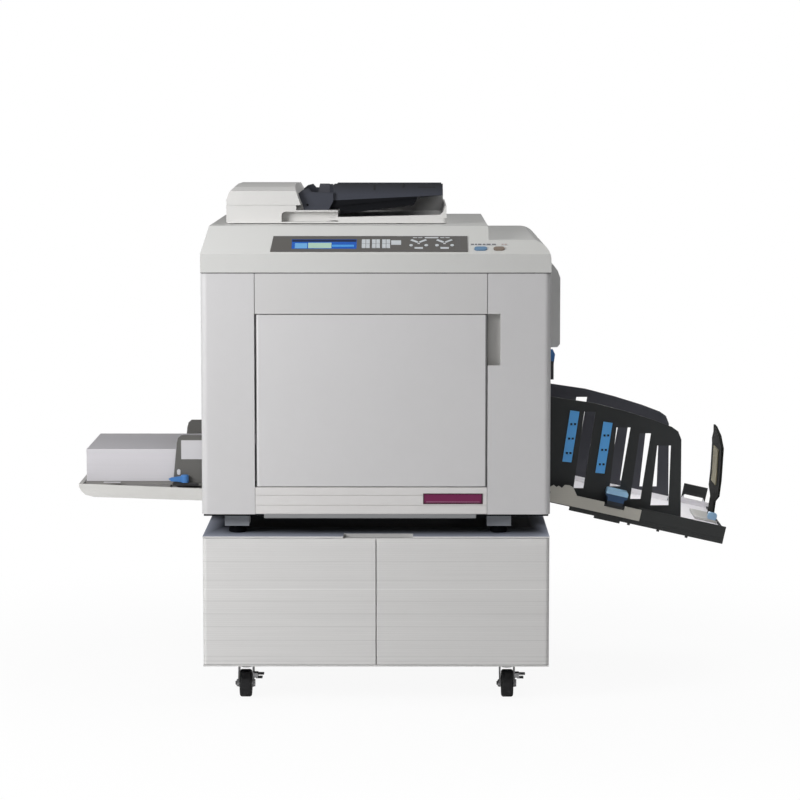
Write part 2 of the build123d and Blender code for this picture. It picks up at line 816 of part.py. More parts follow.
def machine_frame():
    """Front and back steel plates joined by stay bars, bored for the rollers."""
    stay_r = 7.0
    paper_right = -260.0
    paper_top = 600.0
    drum_room = 6.0
    drive_bore = 20.0
    front = -FRAME_Y - FRAME_SHEET
    back = FRAME_Y
    before = front - OVER
    behind = back + FRAME_SHEET + OVER
    frame = Part()
    for y in (front, back):
        frame += block((FRAME_LEFT, y, BASE_TOP), (FRAME_RIGHT, y + FRAME_SHEET, FRAME_TOP))
    for x, z in STAY_BARS:
        frame += rod((x, front, z), (x, back + FRAME_SHEET, z), stay_r)
    frame -= block((FRAME_LEFT - OVER, before, BASE_TOP - OVER), (paper_right, -FRAME_Y + OVER, paper_top))
    for x in DRUM_XS:
        frame -= rod((x, before, DRUM_Z), (x, -FRAME_Y + OVER, DRUM_Z), DRUM_END_R + drum_room)
        frame -= rod((x, back - OVER, DRUM_Z), (x, behind, DRUM_Z), drive_bore)
        frame -= rod((x, before, PRESS_Z), (x, behind, PRESS_Z), JOURNAL_R + RUNNING_FIT)
    x, z = FEED_ROLLER_X, FEED_ROLLER_Z
    return frame - rod((x, before, z), (x, behind, z), JOURNAL_R + RUNNING_FIT)


def drum_frame(x):
    """A pull-out drum unit: end plates, a bridge, a handle and the cartridge's tube."""
    front_plate = 8.0
    rear_plate = 6.0
    bridge = 4.0
    bridge_half = 30.0
    lug_foot = 60.0
    tube_wall = 3.0
    tube_back = 100.0
    front = DRUM_END_Y
    back = DRUM_UNIT_BACK
    top = DRUM_Z + DRUM_END_R
    tube_step = -DRUM_HALF + DRUM_END_ROOM
    unit = rod((x, front, DRUM_Z), (x, front + front_plate, DRUM_Z), DRUM_END_R)
    unit += rod((x, back - rear_plate, DRUM_Z), (x, back, DRUM_Z), DRUM_R - 2)
    unit += block((x - bridge_half, back - rear_plate, DRUM_Z + lug_foot), (x + bridge_half, back, top))
    unit += block((x - bridge_half, front, top - bridge), (x + bridge_half, back, top))
    unit += rod((x, front, DRUM_Z), (x, tube_step, DRUM_Z), HUB_R)
    unit += rod((x, tube_step, DRUM_Z), (x, tube_back, DRUM_Z), HUB_R - tube_wall)
    unit += rod((x, DRUM_HALF - DRUM_END_ROOM, DRUM_Z), (x, back, DRUM_Z), SPINDLE_R)
    unit -= rod((x, front - OVER, DRUM_Z), (x, tube_back - bridge, DRUM_Z), INK_R + INK_PLAY)
    return unit + drum_grip(x)


def drum_grip(x):
    """The handle bar across the front of a drum unit, open below for the fingers."""
    half = 62.0
    wall = 12.0
    deep = 14.0
    foot = DRUM_Z - 78
    high = DRUM_Z - 50
    grip = block((x - half, DRUM_END_Y - deep, foot), (x + half, DRUM_END_Y, high))
    hollow_low = (x - half + wall, DRUM_END_Y - deep + 6, foot - OVER)
    return grip - block(hollow_low, (x + half - wall, DRUM_END_Y, high - 6))


def drum_screen(x):
    """The turning drum: a thin cylinder with two ends and the master clamp bar."""
    end = 6.0
    boss_r = 18.0
    boss_long = 10.0
    clamp_half = 9.0
    clamp_inset = 8.0
    clamp_deep = 4.0
    clamp_proud = 0.6
    rim = DRUM_Z + DRUM_R
    drum = rod((x, -DRUM_HALF, DRUM_Z), (x, DRUM_HALF, DRUM_Z), DRUM_R)
    drum -= rod((x, -DRUM_HALF + end, DRUM_Z), (x, DRUM_HALF - end, DRUM_Z), DRUM_R - DRUM_WALL)
    drum -= rod((x, -DRUM_HALF - OVER, DRUM_Z), (x, -DRUM_HALF + end + OVER, DRUM_Z), HUB_R + RUNNING_FIT)
    drum += rod((x, DRUM_HALF, DRUM_Z), (x, DRUM_HALF + boss_long, DRUM_Z), boss_r)
    drum += block(
        (x - clamp_half, -DRUM_HALF + clamp_inset, rim - clamp_deep),
        (x + clamp_half, DRUM_HALF - clamp_inset, rim + clamp_proud),
    )
    bore_start = (x, DRUM_HALF - end - OVER, DRUM_Z)
    bore_end = (x, DRUM_HALF + boss_long + OVER, DRUM_Z)
    return drum - rod(bore_start, bore_end, SPINDLE_R + RUNNING_FIT)


def ink_cartridge(x):
    """A round ink cartridge with a grip across its front end."""
    shoulder = 80.0
    neck_long = 12.0
    neck_r = 14.0
    bar_half = 5.0
    hollow = 26.0
    hollow_deep = 10.0
    front = DRUM_END_Y - 4
    ink = rod((x, front, DRUM_Z), (x, shoulder, DRUM_Z), INK_R)
    ink += rod((x, shoulder, DRUM_Z), (x, shoulder + neck_long, DRUM_Z), neck_r)
    for side in (-1, 1):
        low, high = sorted((DRUM_Z + side * bar_half, DRUM_Z + side * hollow))
        ink -= block((x - hollow, front - OVER, low), (x + hollow, front + hollow_deep, high))
    return ink


def press_roller(x):
    """The rubber roller that presses paper against a drum."""
    half = 150.0
    reach = FRAME_Y + FRAME_SHEET
    roller = rod((x, -half, PRESS_Z), (x, half, PRESS_Z), PRESS_R)
    return roller + rod((x, -reach, PRESS_Z), (x, reach, PRESS_Z), JOURNAL_R)


def feed_roller():
    """The pick-up roller over the paper stack, on its shaft."""
    half = 30.0
    x, z = FEED_ROLLER_X, FEED_ROLLER_Z
    reach = FRAME_Y + FRAME_SHEET
    roller = rod((x, -half, z), (x, half, z), FEED_ROLLER_R)
    return roller + rod((x, -reach, z), (x, reach, z), JOURNAL_R)


def transfer_unit():
    """The belt conveyor between the two printing stations."""
    left = -146.0
    right = 12.0
    return block((left, -FRAME_Y, BELT_FOOT), (right, FRAME_Y, BELT_TOP))


def exit_conveyor():
    """The belt conveyor that throws printed sheets into the receiving tray."""
    left = 76.0
    right = 300.0
    line = [(left, BELT_FOOT), (right, 545.0), (right, 575.0), (left, BELT_TOP)]
    return run_y(line, -FRAME_Y, FRAME_Y)


def master_unit():
    """The tray that holds the master roll, above the drums."""
    left = -60.0
    right = 150.0
    wall = 4.0
    end_wall = 20.0
    shelf_wide = 20.0
    shelf_tall = 30.0
    low = 800.0
    high = 870.0
    unit = block((left, -FRAME_Y, low), (right, FRAME_Y, high))
    inner = (left + wall, -FRAME_Y + end_wall, low + wall)
    unit -= block(inner, (right - wall, FRAME_Y - end_wall, high + OVER))
    return unit + block(inner, (inner[0] + shelf_wide, FRAME_Y - end_wall, low + shelf_tall))


def master_roll():
    """The roll of master film on its core."""
    x = 80.0
    z = 838.0
    half = 155.0
    roll_r = 30.0
    core_r = 9.0
    reach = FRAME_Y - 20
    roll = rod((x, -half, z), (x, half, z), roll_r)
    return roll + rod((x, -reach, z), (x, reach, z), core_r)


def disposal_box():
    """The box that used masters are pressed into."""
    low = (180.0, -FRAME_Y, 700.0)
    high = (FRAME_RIGHT, FRAME_Y, 900.0)
    inner_low = [value + SKIN for value in low]
    return block(low, high) - block(inner_low, (high[0] - SKIN, high[1] - SKIN, high[2] + OVER))


def drive_motor():
    """The main motor behind the back plate."""
    x = -67.0
    z = 600.0
    can_r = 38.0
    can_long = 60.0
    flange = 8.0
    flange_x = 43.0
    flange_z = 44.0
    back = FRAME_Y + FRAME_SHEET
    motor = rod((x, back, z), (x, back + can_long, z), can_r)
    return motor + block((x - flange_x, back, z - flange_z), (x + flange_x, back + flange, z + flange_z))


def power_supply():
    """The power supply box on the base, behind the back plate."""
    left = -400.0
    right = -270.0
    top = 560.0
    return block((left, FRAME_Y + FRAME_SHEET, BASE_TOP), (right, COVER_BACK - 6, top))


def control_board():
    """The main circuit board on its four posts behind the back plate."""
    left = 80.0
    right = 280.0
    foot = 660.0
    top = 880.0
    post = 20.0
    post_r = 4.0
    inset = 12.0
    board_thick = 2.0
    chip = (45.0, 6.0, 30.0)
    back = FRAME_Y + FRAME_SHEET
    face = back + post + board_thick
    board = block((left, back + post, foot), (right, face, top))
    for x in (left + inset, right - inset):
        for z in (foot + inset, top - inset):
            board += rod((x, back, z), (x, back + post, z), post_r)
    for x, z in ((110.0, 700.0), (190.0, 760.0), (130.0, 820.0)):
        board += block((x, face, z), (x + chip[0], face + chip[1], z + chip[2]))
    return board


# Document feeder


def lid_hinge_blocks():
    """Two blocks on the housing that the document lid's pins turn in."""
    half_x = 15.0
    half_y = 12.0
    high = LID_HINGE_Z + 11
    round_r = 8.0
    blocks = Part()
    for x in LID_HINGE_XS:
        low = (x - half_x, LID_HINGE_Y - half_y, HOUSING_TOP)
        knuckle = block(low, (x + half_x, LID_HINGE_Y + half_y, high))
        knuckle = soften(knuckle, round_r, Axis.X, (x, LID_HINGE_Y + half_y, high))
        start = (x - half_x - OVER, LID_HINGE_Y, LID_HINGE_Z)
        end = (x + half_x + OVER, LID_HINGE_Y, LID_HINGE_Z)
        blocks += knuckle - rod(start, end, LID_HINGE_R + RUNNING_FIT)
    return blocks


def top_hinge():
    """X and Z of the feeder's top cover hinge, inside its lower left edge."""
    return (LID_LEFT + TOP_HINGE_R, LID_SPLIT + TOP_SEAM + TOP_HINGE_R)


def tray_hinge():
    """X and Z of the document tray's hinge at its lower end."""
    return (TRAY_LEFT + 6, TRAY_LOW + 2)


def adf_lid():
    """The document lid: platen, lower feeder body, ledge, exit tray and hinge ears."""
    lid = block((LID_LEFT, LID_FRONT, LID_FOOT), (LID_RIGHT, LID_BACK, LID_FLOOR))
    lid = soften_all(lid, LID_ROUND, Axis.Z)
    lid += block((LID_LEFT, LID_FRONT, LID_FLOOR - 8), (LID_BLOCK_RIGHT, LID_BACK, LID_SPLIT))
    lid += block((LID_BLOCK_RIGHT, LID_FRONT, LID_FLOOR - 8), (EXIT_LEFT, LID_BACK, LID_LEDGE))
    recess_left = LID_BLOCK_RIGHT - 32
    recess_top = LID_LEDGE - 3
    recess_low = (recess_left, LID_FRONT - OVER, LID_FOOT + 3)
    recess = block(recess_low, (EXIT_LEFT + OVER, LID_FRONT + 22, recess_top))
    lid -= soften(recess, 9.0, Axis.Y, (recess_left, LID_FRONT, recess_top))
    lid += exit_tray()
    hx, hz = top_hinge()
    for y in (LID_FRONT + EAR_INSET, LID_BACK - EAR_INSET):
        ear = block((LID_LEFT, y - 2, LID_SPLIT), (hx + 5, y + 2, hz + 5))
        lid += ear - rod((hx, y - 3, hz), (hx, y + 3, hz), SMALL_PIN_R + RUNNING_FIT)
    rx, rz = ADF_ROLLER_X, ADF_ROLLER_Z
    for y in (-52.0, 52.0):
        post = block((rx - 8, y - 3, LID_SPLIT), (rx + 8, y + 3, rz + 6))
        lid += post - rod((rx, y - 4, rz), (rx, y + 4, rz), ADF_SHAFT_R + RUNNING_FIT)
    for x in LID_HINGE_XS:
        lid += lid_hinge_arm(x)
    tx, tz = tray_hinge()
    for y in (-TRAY_HALF - 8, TRAY_HALF + 3):
        cheek = run_y(throat_line(), y, y + CHEEK)
        lid += cheek - rod((tx, y - OVER, tz), (tx, y + CHEEK + OVER, tz), SMALL_PIN_R + RUNNING_FIT)
    return lid + tray_support()


def exit_tray():
    """The sloping exit tray right of the feeder body, with its two low walls."""
    left = EXIT_LEFT - 20
    rim_high = 1062.0
    wall = 3.0
    slope = [
        (left, LID_FLOOR),
        (LID_RIGHT - 9, LID_FLOOR + 3),
        (LID_RIGHT - 3, rim_high),
        (LID_RIGHT, rim_high),
        (LID_RIGHT, LID_FLOOR - 5),
        (left, LID_FLOOR - 5),
    ]
    tray = run_y(slope, LID_FRONT + LID_ROUND, LID_BACK - LID_ROUND)
    wall_line = [
        (EXIT_LEFT, LID_FLOOR - 2),
        (EXIT_LEFT, LID_FLOOR + 2),
        (LID_RIGHT - 14, LID_FLOOR + 7),
        (LID_RIGHT - 1, LID_FLOOR + 20),
        (LID_RIGHT - 1, LID_FLOOR - 2),
    ]
    for front in (LID_FRONT + LID_ROUND, LID_BACK - LID_ROUND - wall):
        tray += run_y(wall_line, front, front + wall)
    return tray


def lid_hinge_arm(x):
    """An arm at the back of the lid with the pin that turns in its hinge block."""
    half = 6.0
    near = 15.5
    far = 22.0
    low = (x + near, LID_BACK - half, LID_HINGE_Z - half)
    arm = block(low, (x + far, LID_HINGE_Y + half + 1, LID_HINGE_Z + half + 1))
    return arm + rod((x - 14, LID_HINGE_Y, LID_HINGE_Z), (x + 18, LID_HINGE_Y, LID_HINGE_Z), LID_HINGE_R)


def tray_support():
    """The grey stay at the back of the lid that the raised document tray leans on."""
    left = 30.0
    right = LID_RIGHT - 4
    top = 1088.0
    line = [
        (left, LID_FLOOR),
        (left, 1060.0),
        (left + 26, top),
        (right, top),
        (right, LID_FLOOR),
    ]
    return run_y(line, TRAY_HALF + 3, TRAY_HALF + 8)


def throat_line():
    """Outline of the dark cheeks that stand beside the lower end of the document tray."""
    return [
        (-215.0, LID_LEDGE - 2),
        (-219.0, 1064.0),
        (-225.0, 1079.0),
        (-228.0, 1089.0),
        (-218.0, 1097.0),
        (-206.0, 1100.0),
        (-199.0, 1092.0),
        (-152.0, 1091.0),
        (-152.0, 1072.0),
        (-163.0, LID_LEDGE - 2),
    ]


def adf_roller():
    """The document pick-up roller under the feeder's top cover."""
    x, z = ADF_ROLLER_X, ADF_ROLLER_Z
    roller_r = 9.0
    half = 40.0
    reach = 56.0
    roller = rod((x, -half, z), (x, half, z), roller_r)
    return roller + rod((x, -reach, z), (x, reach, z), ADF_SHAFT_R)


def adf_top_cover():
    """The feeder's top cover: a crowned shell that swings up from its left end."""
    skin = TOP_COVER_SKIN
    foot = LID_SPLIT + TOP_SEAM
    bevel = 22.0
    right_lean = 15.0
    outer_line = [
        (LID_FRONT, foot),
        (LID_FRONT, TOP_COVER_FRONT_TOP),
        (LID_FRONT + 30, TOP_COVER_CROWN - 5),
        (LID_FRONT + 100, TOP_COVER_CROWN),
        (LID_BACK - 60, TOP_COVER_REAR),
        (LID_BACK, TOP_COVER_REAR - 12),
        (LID_BACK, foot),
    ]
    inner_line = [
        (LID_FRONT + skin, foot - OVER),
        (LID_FRONT + skin, TOP_COVER_FRONT_TOP - 2),
        (LID_FRONT + 32, TOP_COVER_CROWN - 9),
        (LID_FRONT + 101, TOP_COVER_CROWN - skin),
        (LID_BACK - 61, TOP_COVER_REAR - skin),
        (LID_BACK - skin, TOP_COVER_REAR - 14),
        (LID_BACK - skin, foot - OVER),
    ]
    shell = run_x(outer_line, LID_LEFT, TOP_COVER_RIGHT)
    hollow = run_x(inner_line, LID_LEFT + bevel, TOP_COVER_RIGHT - right_lean - skin)
    low_hollow = block(
        (LID_LEFT + 2 * TOP_HINGE_R, LID_FRONT + skin, foot - OVER),
        (TOP_COVER_RIGHT - right_lean - skin, LID_BACK - skin, TOP_COVER_FRONT_TOP - bevel),
    )
    left_bevel = [
        (LID_LEFT - OVER, foot + 2 * TOP_HINGE_R),
        (LID_LEFT, foot + 2 * TOP_HINGE_R),
        (LID_LEFT + TOP_COVER_LEAN, TOP_COVER_FRONT_TOP - 3),
        (LID_LEFT + bevel, TOP_COVER_CROWN + OVER),
        (LID_LEFT - OVER, TOP_COVER_CROWN + OVER),
    ]
    right_bevel = [
        (TOP_COVER_RIGHT - right_lean, TOP_COVER_CROWN + OVER),
        (TOP_COVER_RIGHT, foot - OVER),
        (TOP_COVER_RIGHT + OVER, TOP_COVER_CROWN + OVER),
    ]
    cover = shell - hollow - low_hollow
    cover -= run_y(left_bevel, LID_FRONT - OVER, LID_BACK + OVER)
    cover -= run_y(right_bevel, LID_FRONT - OVER, LID_BACK + OVER)
    cover = soften(cover, TOP_HINGE_R, Axis.Y, (LID_LEFT, 0, foot))
    hx, hz = top_hinge()
    for y in (LID_FRONT + EAR_INSET, LID_BACK - EAR_INSET):
        cover -= block((LID_LEFT - OVER, y - 3, foot - OVER), (hx + 8, y + 3, hz + 9))
    for y in (LID_FRONT + 8, LID_BACK - 18):
        cover += rod((hx, y, hz), (hx, y + 10, hz), SMALL_PIN_R)
    return cover


def adf_tray():
    """The dark document tray that rises to the right, with its wedge of ribs below."""
    rise = (TRAY_HIGH - TRAY_LOW) / (TRAY_RIGHT - TRAY_LEFT)
    thick = 7.0
    tray_line = [
        (TRAY_LEFT, TRAY_LOW - 3),
        (TRAY_LEFT, TRAY_LOW + 6),
        (TRAY_LEFT + 20, TRAY_LOW + 8),
        (TRAY_RIGHT, TRAY_HIGH + 3),
        (TRAY_RIGHT, TRAY_HIGH - thick),
        (TRAY_LEFT + 30, TRAY_LOW - 5),
    ]
    tray = run_y(tray_line, -TRAY_HALF, TRAY_HALF)
    wall = 4.0
    for y, top in ((-TRAY_HALF, 1110.0), (TRAY_HALF - wall, 1103.0)):
        rim_line = [
            (GUIDE_RIGHT + 8, TRAY_LOW + 4),
            (GUIDE_RIGHT + 8, top - 3),
            (GUIDE_RIGHT + 11, top),
            (TRAY_RIGHT, top),
            (TRAY_RIGHT, TRAY_HIGH - 1),
            (27.0, TRAY_HIGH - 8),
            (-128.0, 1073.0),
        ]
        tray += run_y(rim_line, y, y + wall)
    rib_line = [
        (-175.0, TRAY_LOW - 2),
        (-160.0, 1056.0),
        (20.0, 1080.0),
        (20.0, 1090.0),
        (-175.0, TRAY_LOW + 3),
    ]
    for y in (-70.0, 0.0, 70.0):
        tray += run_y(rib_line, y, y + wall)
    wedge_line = [
        (-175.0, TRAY_LOW + 3),
        (-175.0, TRAY_LOW - 3),
        (-163.0, LID_LEDGE + 1.5),
        (-139.0, LID_LEDGE + 1.5),
        (-136.0, 1044.0),
        (-72.0, 1051.0),
        (23.0, 1063.0),
        (34.0, TRAY_HIGH - 8),
        (-128.0, 1076.0),
    ]
    for y in (-TRAY_HALF + wall, TRAY_HALF - 2 * wall):
        tray += run_y(wedge_line, y, y + wall)
    tx, tz = tray_hinge()
    slot_z = TRAY_LOW + rise * (GUIDE_LEFT - TRAY_LEFT)
    for side in (-1, 1):
        near, far = sorted((side * 60.0, side * 154.0))
        tray -= block((GUIDE_LEFT + 8, near, slot_z - 20), (GUIDE_LEFT + 14, far, slot_z + 30))
    return tray + rod((tx, -TRAY_HALF - 7, tz), (tx, TRAY_HALF + 7, tz), SMALL_PIN_R)


def adf_guide(side):
    """A document guide that slides across the tray."""
    face = side * 150.0
    rise = (TRAY_HIGH - TRAY_LOW) / (TRAY_RIGHT - TRAY_LEFT)
    floor_left = TRAY_LOW + 8.6 + rise * (GUIDE_LEFT - TRAY_LEFT - 20)
    floor_right = TRAY_LOW + 9.4 + rise * (GUIDE_RIGHT - TRAY_LEFT - 20)
    top = 1105.0 - side * 5.0
    line = [
        (GUIDE_LEFT, floor_left + 1),
        (GUIDE_LEFT, 1090.0),
        (GUIDE_LEFT + 5, top),
        (GUIDE_RIGHT, top),
        (GUIDE_RIGHT, floor_right + 1),
    ]
    near, far = sorted((face, face - side * 5))
    guide = run_y(line, near, far)
    near, far = sorted((face, face - side * 30))
    foot = [
        (GUIDE_LEFT, floor_left + 1),
        (GUIDE_LEFT, floor_left + 4),
        (GUIDE_RIGHT, floor_right + 4),
        (GUIDE_RIGHT, floor_right + 1),
    ]
    return guide + run_y(foot, near, far)


# Feed side


def feed_tray():
    """The pale feed tray with its rounded left end, and the bracket inside the body."""
    wall = 4.0
    bracket_half = 140.0
    line = [
        (FEED_LEFT, FEED_TOP + 6),
        (FEED_LEFT, FEED_TOP - 1),
        (FEED_LEFT + 5, FEED_LOW + 18),
        (FEED_LEFT + 14, FEED_LOW + 10),
        (FEED_LEFT + 34, FEED_LOW + 5),
        (BODY_LEFT - 4, FEED_LOW - 3),
        (BODY_LEFT - 4, FEED_TOP - 5),
    ]
    tray = run_y(line, -FEED_HALF, FEED_HALF)
    tray -= block(
        (FEED_LEFT + 8, -FEED_HALF + wall, FEED_TOP - 6),
        (BODY_LEFT + OVER, FEED_HALF - wall, PLATFORM_TOP + OVER),
    )
    bracket_low = (BODY_LEFT - 40, -bracket_half, FEED_TOP - 18)
    return tray + block(bracket_low, (-330.0, bracket_half, FEED_TOP - 6))


def feed_platform():
    """The dark plate that the paper stands on, joined to the tray's bracket."""
    right = -300.0
    inset = 3.0
    low = FEED_TOP - 6
    plate_low = (FEED_LEFT + 9, -FEED_GUIDE_Y + inset, low)
    plate = block(plate_low, (right, FEED_GUIDE_Y - inset, PLATFORM_TOP))
    return plate + block((-622.0, -178.0, low), (-512.0, 178.0, FEED_TOP - 1))


def feed_guide(side):
    """An upright paper guide beside the stack."""
    left = -507.0
    right = -406.0
    foot = PLATFORM_TOP - 5
    line = [
        (left, foot),
        (left + 2, foot + 20),
        (left + 9, FEED_GUIDE_TOP - 17),
        (left + 12, FEED_GUIDE_TOP - 6),
        (left + 19, FEED_GUIDE_TOP),
        (right, FEED_GUIDE_TOP),
        (right, PLATFORM_TOP + 1),
        (BODY_LEFT - 12, PLATFORM_TOP + 1),
        (BODY_LEFT - 12, foot),
    ]
    near, far = sorted((side * FEED_GUIDE_Y, side * (FEED_GUIDE_Y + 4)))
    guide = run_y(line, near, far)
    near, far = sorted((side * FEED_GUIDE_Y, side * (FEED_GUIDE_Y + 24)))
    guide += block((left, near, foot - 1.5), (BODY_LEFT - 12, far, foot + 4))
    return guide + (lock_post() if side < 0 else Part())


def lock_post():
    """The short post on the front guide's foot that the lock lever turns on."""
    return rod((LOCK_X, LOCK_Y, LOCK_Z - 7), (LOCK_X, LOCK_Y, LOCK_Z + 7), 3.0)


def feed_lock_lever():
    """The blue lever that locks the feed guides."""
    hub_r = 8.5
    lever = rod((LOCK_X, LOCK_Y, LOCK_Z - 2), (LOCK_X, LOCK_Y, LOCK_Z + 15), hub_r)
    lever = fillet(lever.edges().filter_by(GeomType.CIRCLE).sort_by(Axis.Z)[-1], 3.0)
    arm = [
        (LOCK_X, LOCK_Z - 1),
        (LOCK_X - 30, LOCK_Z + 1),
        (LOCK_X - 36, LOCK_Z + 6),
        (LOCK_X - 30, LOCK_Z + 9),
        (LOCK_X, LOCK_Z + 13),
    ]
    lever += run_y(arm, LOCK_Y - 5, LOCK_Y + 1)
    return lever - rod((LOCK_X, LOCK_Y, LOCK_Z - 3), (LOCK_X, LOCK_Y, LOCK_Z + 7.5), 3.0 + RUNNING_FIT)


def paper_stack():
    """The stack of blank paper on the feed tray."""
    return block((STACK_LEFT, -STACK_HALF, STACK_FOOT), (STACK_RIGHT, STACK_HALF, STACK_TOP))


# Receiving side


def grip_notch():
    """The cut in the rails and side walls that a guide's grip passes through."""
    room = 1.0
    reach = RECEIVE_HALF + 4
    low = (GRIP_LEFT + 2 - room, -reach, GRIP_FOOT - room / 2)
    return on_tray(low, (GRIP_RIGHT - 3 + room, reach, 40.0))


def receiving_tray():
    """The dark frame of the receiving tray: side walls, end wall, ribs and hinge arms."""
    wall = 4.0
    low = -26.0
    high = 12.5
    joint = 200
    tray = Part()
    for y in (-RECEIVE_HALF, RECEIVE_HALF - wall):
        tray += on_tray((0, y, low + 8), (joint + 6, y + wall, 8.0)) - grip_notch()
        tray += on_tray((50, y, low), (joint + 6, y + wall, low + 10))
        tray += on_tray((107, y, low - 5), (165, y + wall, low + 2))
        tray += on_tray((joint, y, low), (RECEIVE_LONG, y + wall, high))
        for u in (182, 248, 312):
            tray += on_tray((u, y, low - 4), (u + 6, y + wall, low + 1))
    tray += on_tray((RECEIVE_LONG - wall, -RECEIVE_HALF, low), (RECEIVE_LONG, RECEIVE_HALF, 4.0))
    tray += on_tray((0, -RECEIVE_HALF, low + 8), (wall, RECEIVE_HALF, -4.0))
    for u in (60, 130, 200, 270, 340):
        tray += on_tray((u, -RECEIVE_HALF, -14.0), (u + wall, RECEIVE_HALF, -5.0))
    tray += on_tray((330, RECEIVE_HALF - wall, 21.0), (386, RECEIVE_HALF, 46.0))
    for u in (330, 380):
        tray += on_tray((u, RECEIVE_HALF - wall, 0), (u + 6, RECEIVE_HALF, 46.0))
    for y in (-150.0, 130.0):
        tray += block((BODY_RIGHT, y, RECEIVE_Z - 30), (RECEIVE_X + 3, y + 20, RECEIVE_Z - 4))
    return tray


def receiving_tray_floor():
    """The pale floor sheet inside the receiving tray."""
    return on_tray((4, -RECEIVE_HALF + 4, -4.0), (RECEIVE_LONG - 4, RECEIVE_HALF - 4, 0))


def receiving_rails():
    """Pale metal rails on the two sides, each with a toothed bracket at the body."""
    rails = Part()
    for side in (-1, 1):
        near, far = sorted((side * RECEIVE_HALF, side * (RECEIVE_HALF + 2.5)))
        rail = on_tray((2, near, -16.0), (206, far, 9.0)) - grip_notch()
        tooth_line = [
            (322.0, 438.0),
            (322.0, 447.0),
            (331.0, 452.0),
            (337.0, 447.0),
            (342.0, 450.0),
            (349.0, 445.0),
            (355.0, 452.0),
            (366.0, 451.0),
            (374.0, 446.0),
            (384.0, 424.0),
            (384.0, 414.0),
        ]
        rails += rail + run_y(tooth_line, near, far)
    return rails


def guide_line(low, sink):
    """Outline of a receiving guide in (x, z): its top falls away in a curve."""
    slope = tan(RECEIVE_FALL)
    left = BODY_RIGHT + 3.5
    foot_left = RECEIVE_Z - (left - RECEIVE_X) * slope + low
    foot_right = RECEIVE_Z - (GUIDE_END_X - RECEIVE_X) * slope + low
    return [
        (left, foot_left),
        (left, 645.0 - sink),
        (339.0, 641.0 - sink),
        (420.0, 629.0 - sink),
        (489.0, 611.0 - sink),
        (550.0, 592.0 - sink),
        (592.0, 576.0 - sink),
        (606.0, 566.0 - sink),
        (GUIDE_END_X, 548.0 - sink),
        (GUIDE_END_X, foot_right),
    ]


def receiving_guide(side):
    """An upright side guide with leaning slots, its foot on the tray."""
    near, far = sorted((side * GUIDE_Y, side * (GUIDE_Y + GUIDE_SHEET)))
    guide = run_y(guide_line(2.0, 0), near, far)
    for low, low_left, low_right, high, high_left, high_right in GUIDE_WINDOWS:
        window = [(low_left, low), (low_right, low), (high_right, high), (high_left, high)]
        guide -= run_y(window, near - OVER, far + OVER)
    near, far = sorted((side * GUIDE_Y, side * (GUIDE_Y + 26)))
    guide += on_tray((60, near, 1.0), (250, far, 4.0))
    near, far = sorted((side * GUIDE_Y, side * (GRIP_REACH - 1)))
    return guide + on_tray((GRIP_LEFT + 2, near, GRIP_FOOT), (GRIP_RIGHT - 3, far, GRIP_FOOT + 6))


def guide_knob(side):
    """The blue grip at the foot of a receiving guide."""
    near, far = sorted((side * (GUIDE_Y + GUIDE_SHEET), side * GRIP_REACH))
    knob = on_tray((GRIP_LEFT + 5, near, GRIP_FOOT + 6), (GRIP_RIGHT - 6, far, 26.0))
    cap = on_tray((GRIP_LEFT, near, 22.0), (GRIP_RIGHT, far, 40.0))
    return soften_all(knob, 4.0, Axis.Y) + soften_all(cap, 5.0, Axis.Y)


def arrangers(side):
    """Two blue perforated strips on a receiving guide's outer face."""
    near, far = sorted((side * (GUIDE_Y + GUIDE_SHEET), side * (GUIDE_Y + GUIDE_SHEET + 4)))
    strips = Part()
    lean = 17.0
    wide = 20.0
    for left, low, high in ((351.0, 500.0, 613.0), (424.0, 475.0, 588.0)):
        line = [(left, low), (left + wide, low - 2), (left + wide + lean, high - 3), (left + lean, high)]
        strip = run_y(line, near, far)
        for row in range(3):
            z = low + 16 + row * 32
            for dx in (5.0, 13.0):
                x = left + dx + lean * (z - low) / (high - low)
                strip -= block((x, near - OVER, z), (x + 5, far + OVER, z + 5))
        strips += strip
    return strips


def end_guide_foot():
    """Height of the end stop's lower edge, on the sloping tray."""
    return RECEIVE_Z - (END_GUIDE_X - RECEIVE_X) * tan(RECEIVE_FALL) + 6


def end_guide():
    """The end stop at the far end of the tray: a bowed leaf on a narrow stem and a foot."""
    x = END_GUIDE_X
    foot = end_guide_foot()
    top = foot + END_GUIDE_TALL
    half = 100.0
    stem = 45.0
    reach = 24.0
    foot_half = 64.0
    line = [
        (x, foot),
        (x + 7, foot + 45),
        (x + 12, foot + 95),
        (x + 15, foot + 155),
        (x + 14, foot + 185),
        (x + 10, top),
        (x + 14, top),
        (x + 20, foot + 189),
        (x + 21, foot + 165),
        (x + 17, foot + 95),
        (x + 11, foot + 45),
        (x + 5, foot - 2),
    ]
    guide = run_y(line, -half, half)
    upper = [
        (half + OVER, top + OVER),
        (half + OVER, top - 42),
        (half, top - 40),
        (20.0, top + OVER),
    ]
    lower = [
        (half + OVER, foot - 3),
        (half + OVER, foot + 60),
        (half, foot + 58),
        (stem, foot + 40),
        (stem, foot - 3),
    ]
    for corner in (upper, lower):
        guide -= run_x(corner, x - OVER, x + reach)
        guide -= run_x([(-y, z) for y, z in corner], x - OVER, x + reach)
    return guide + on_tray((340, -foot_half, 1.0), (391, foot_half, 6.0))


def end_guide_pad():
    """The pale pad on the inner face of the end stop."""
    x = END_GUIDE_X
    foot = end_guide_foot()
    proud = 2.0
    low = [(x + 10.1, foot + 76), (x + 12, foot + 95), (x + 15, foot + 155)]
    line = low + [(px - proud, pz) for px, pz in reversed(low)]
    return run_y(line, -45.0, 45.0)


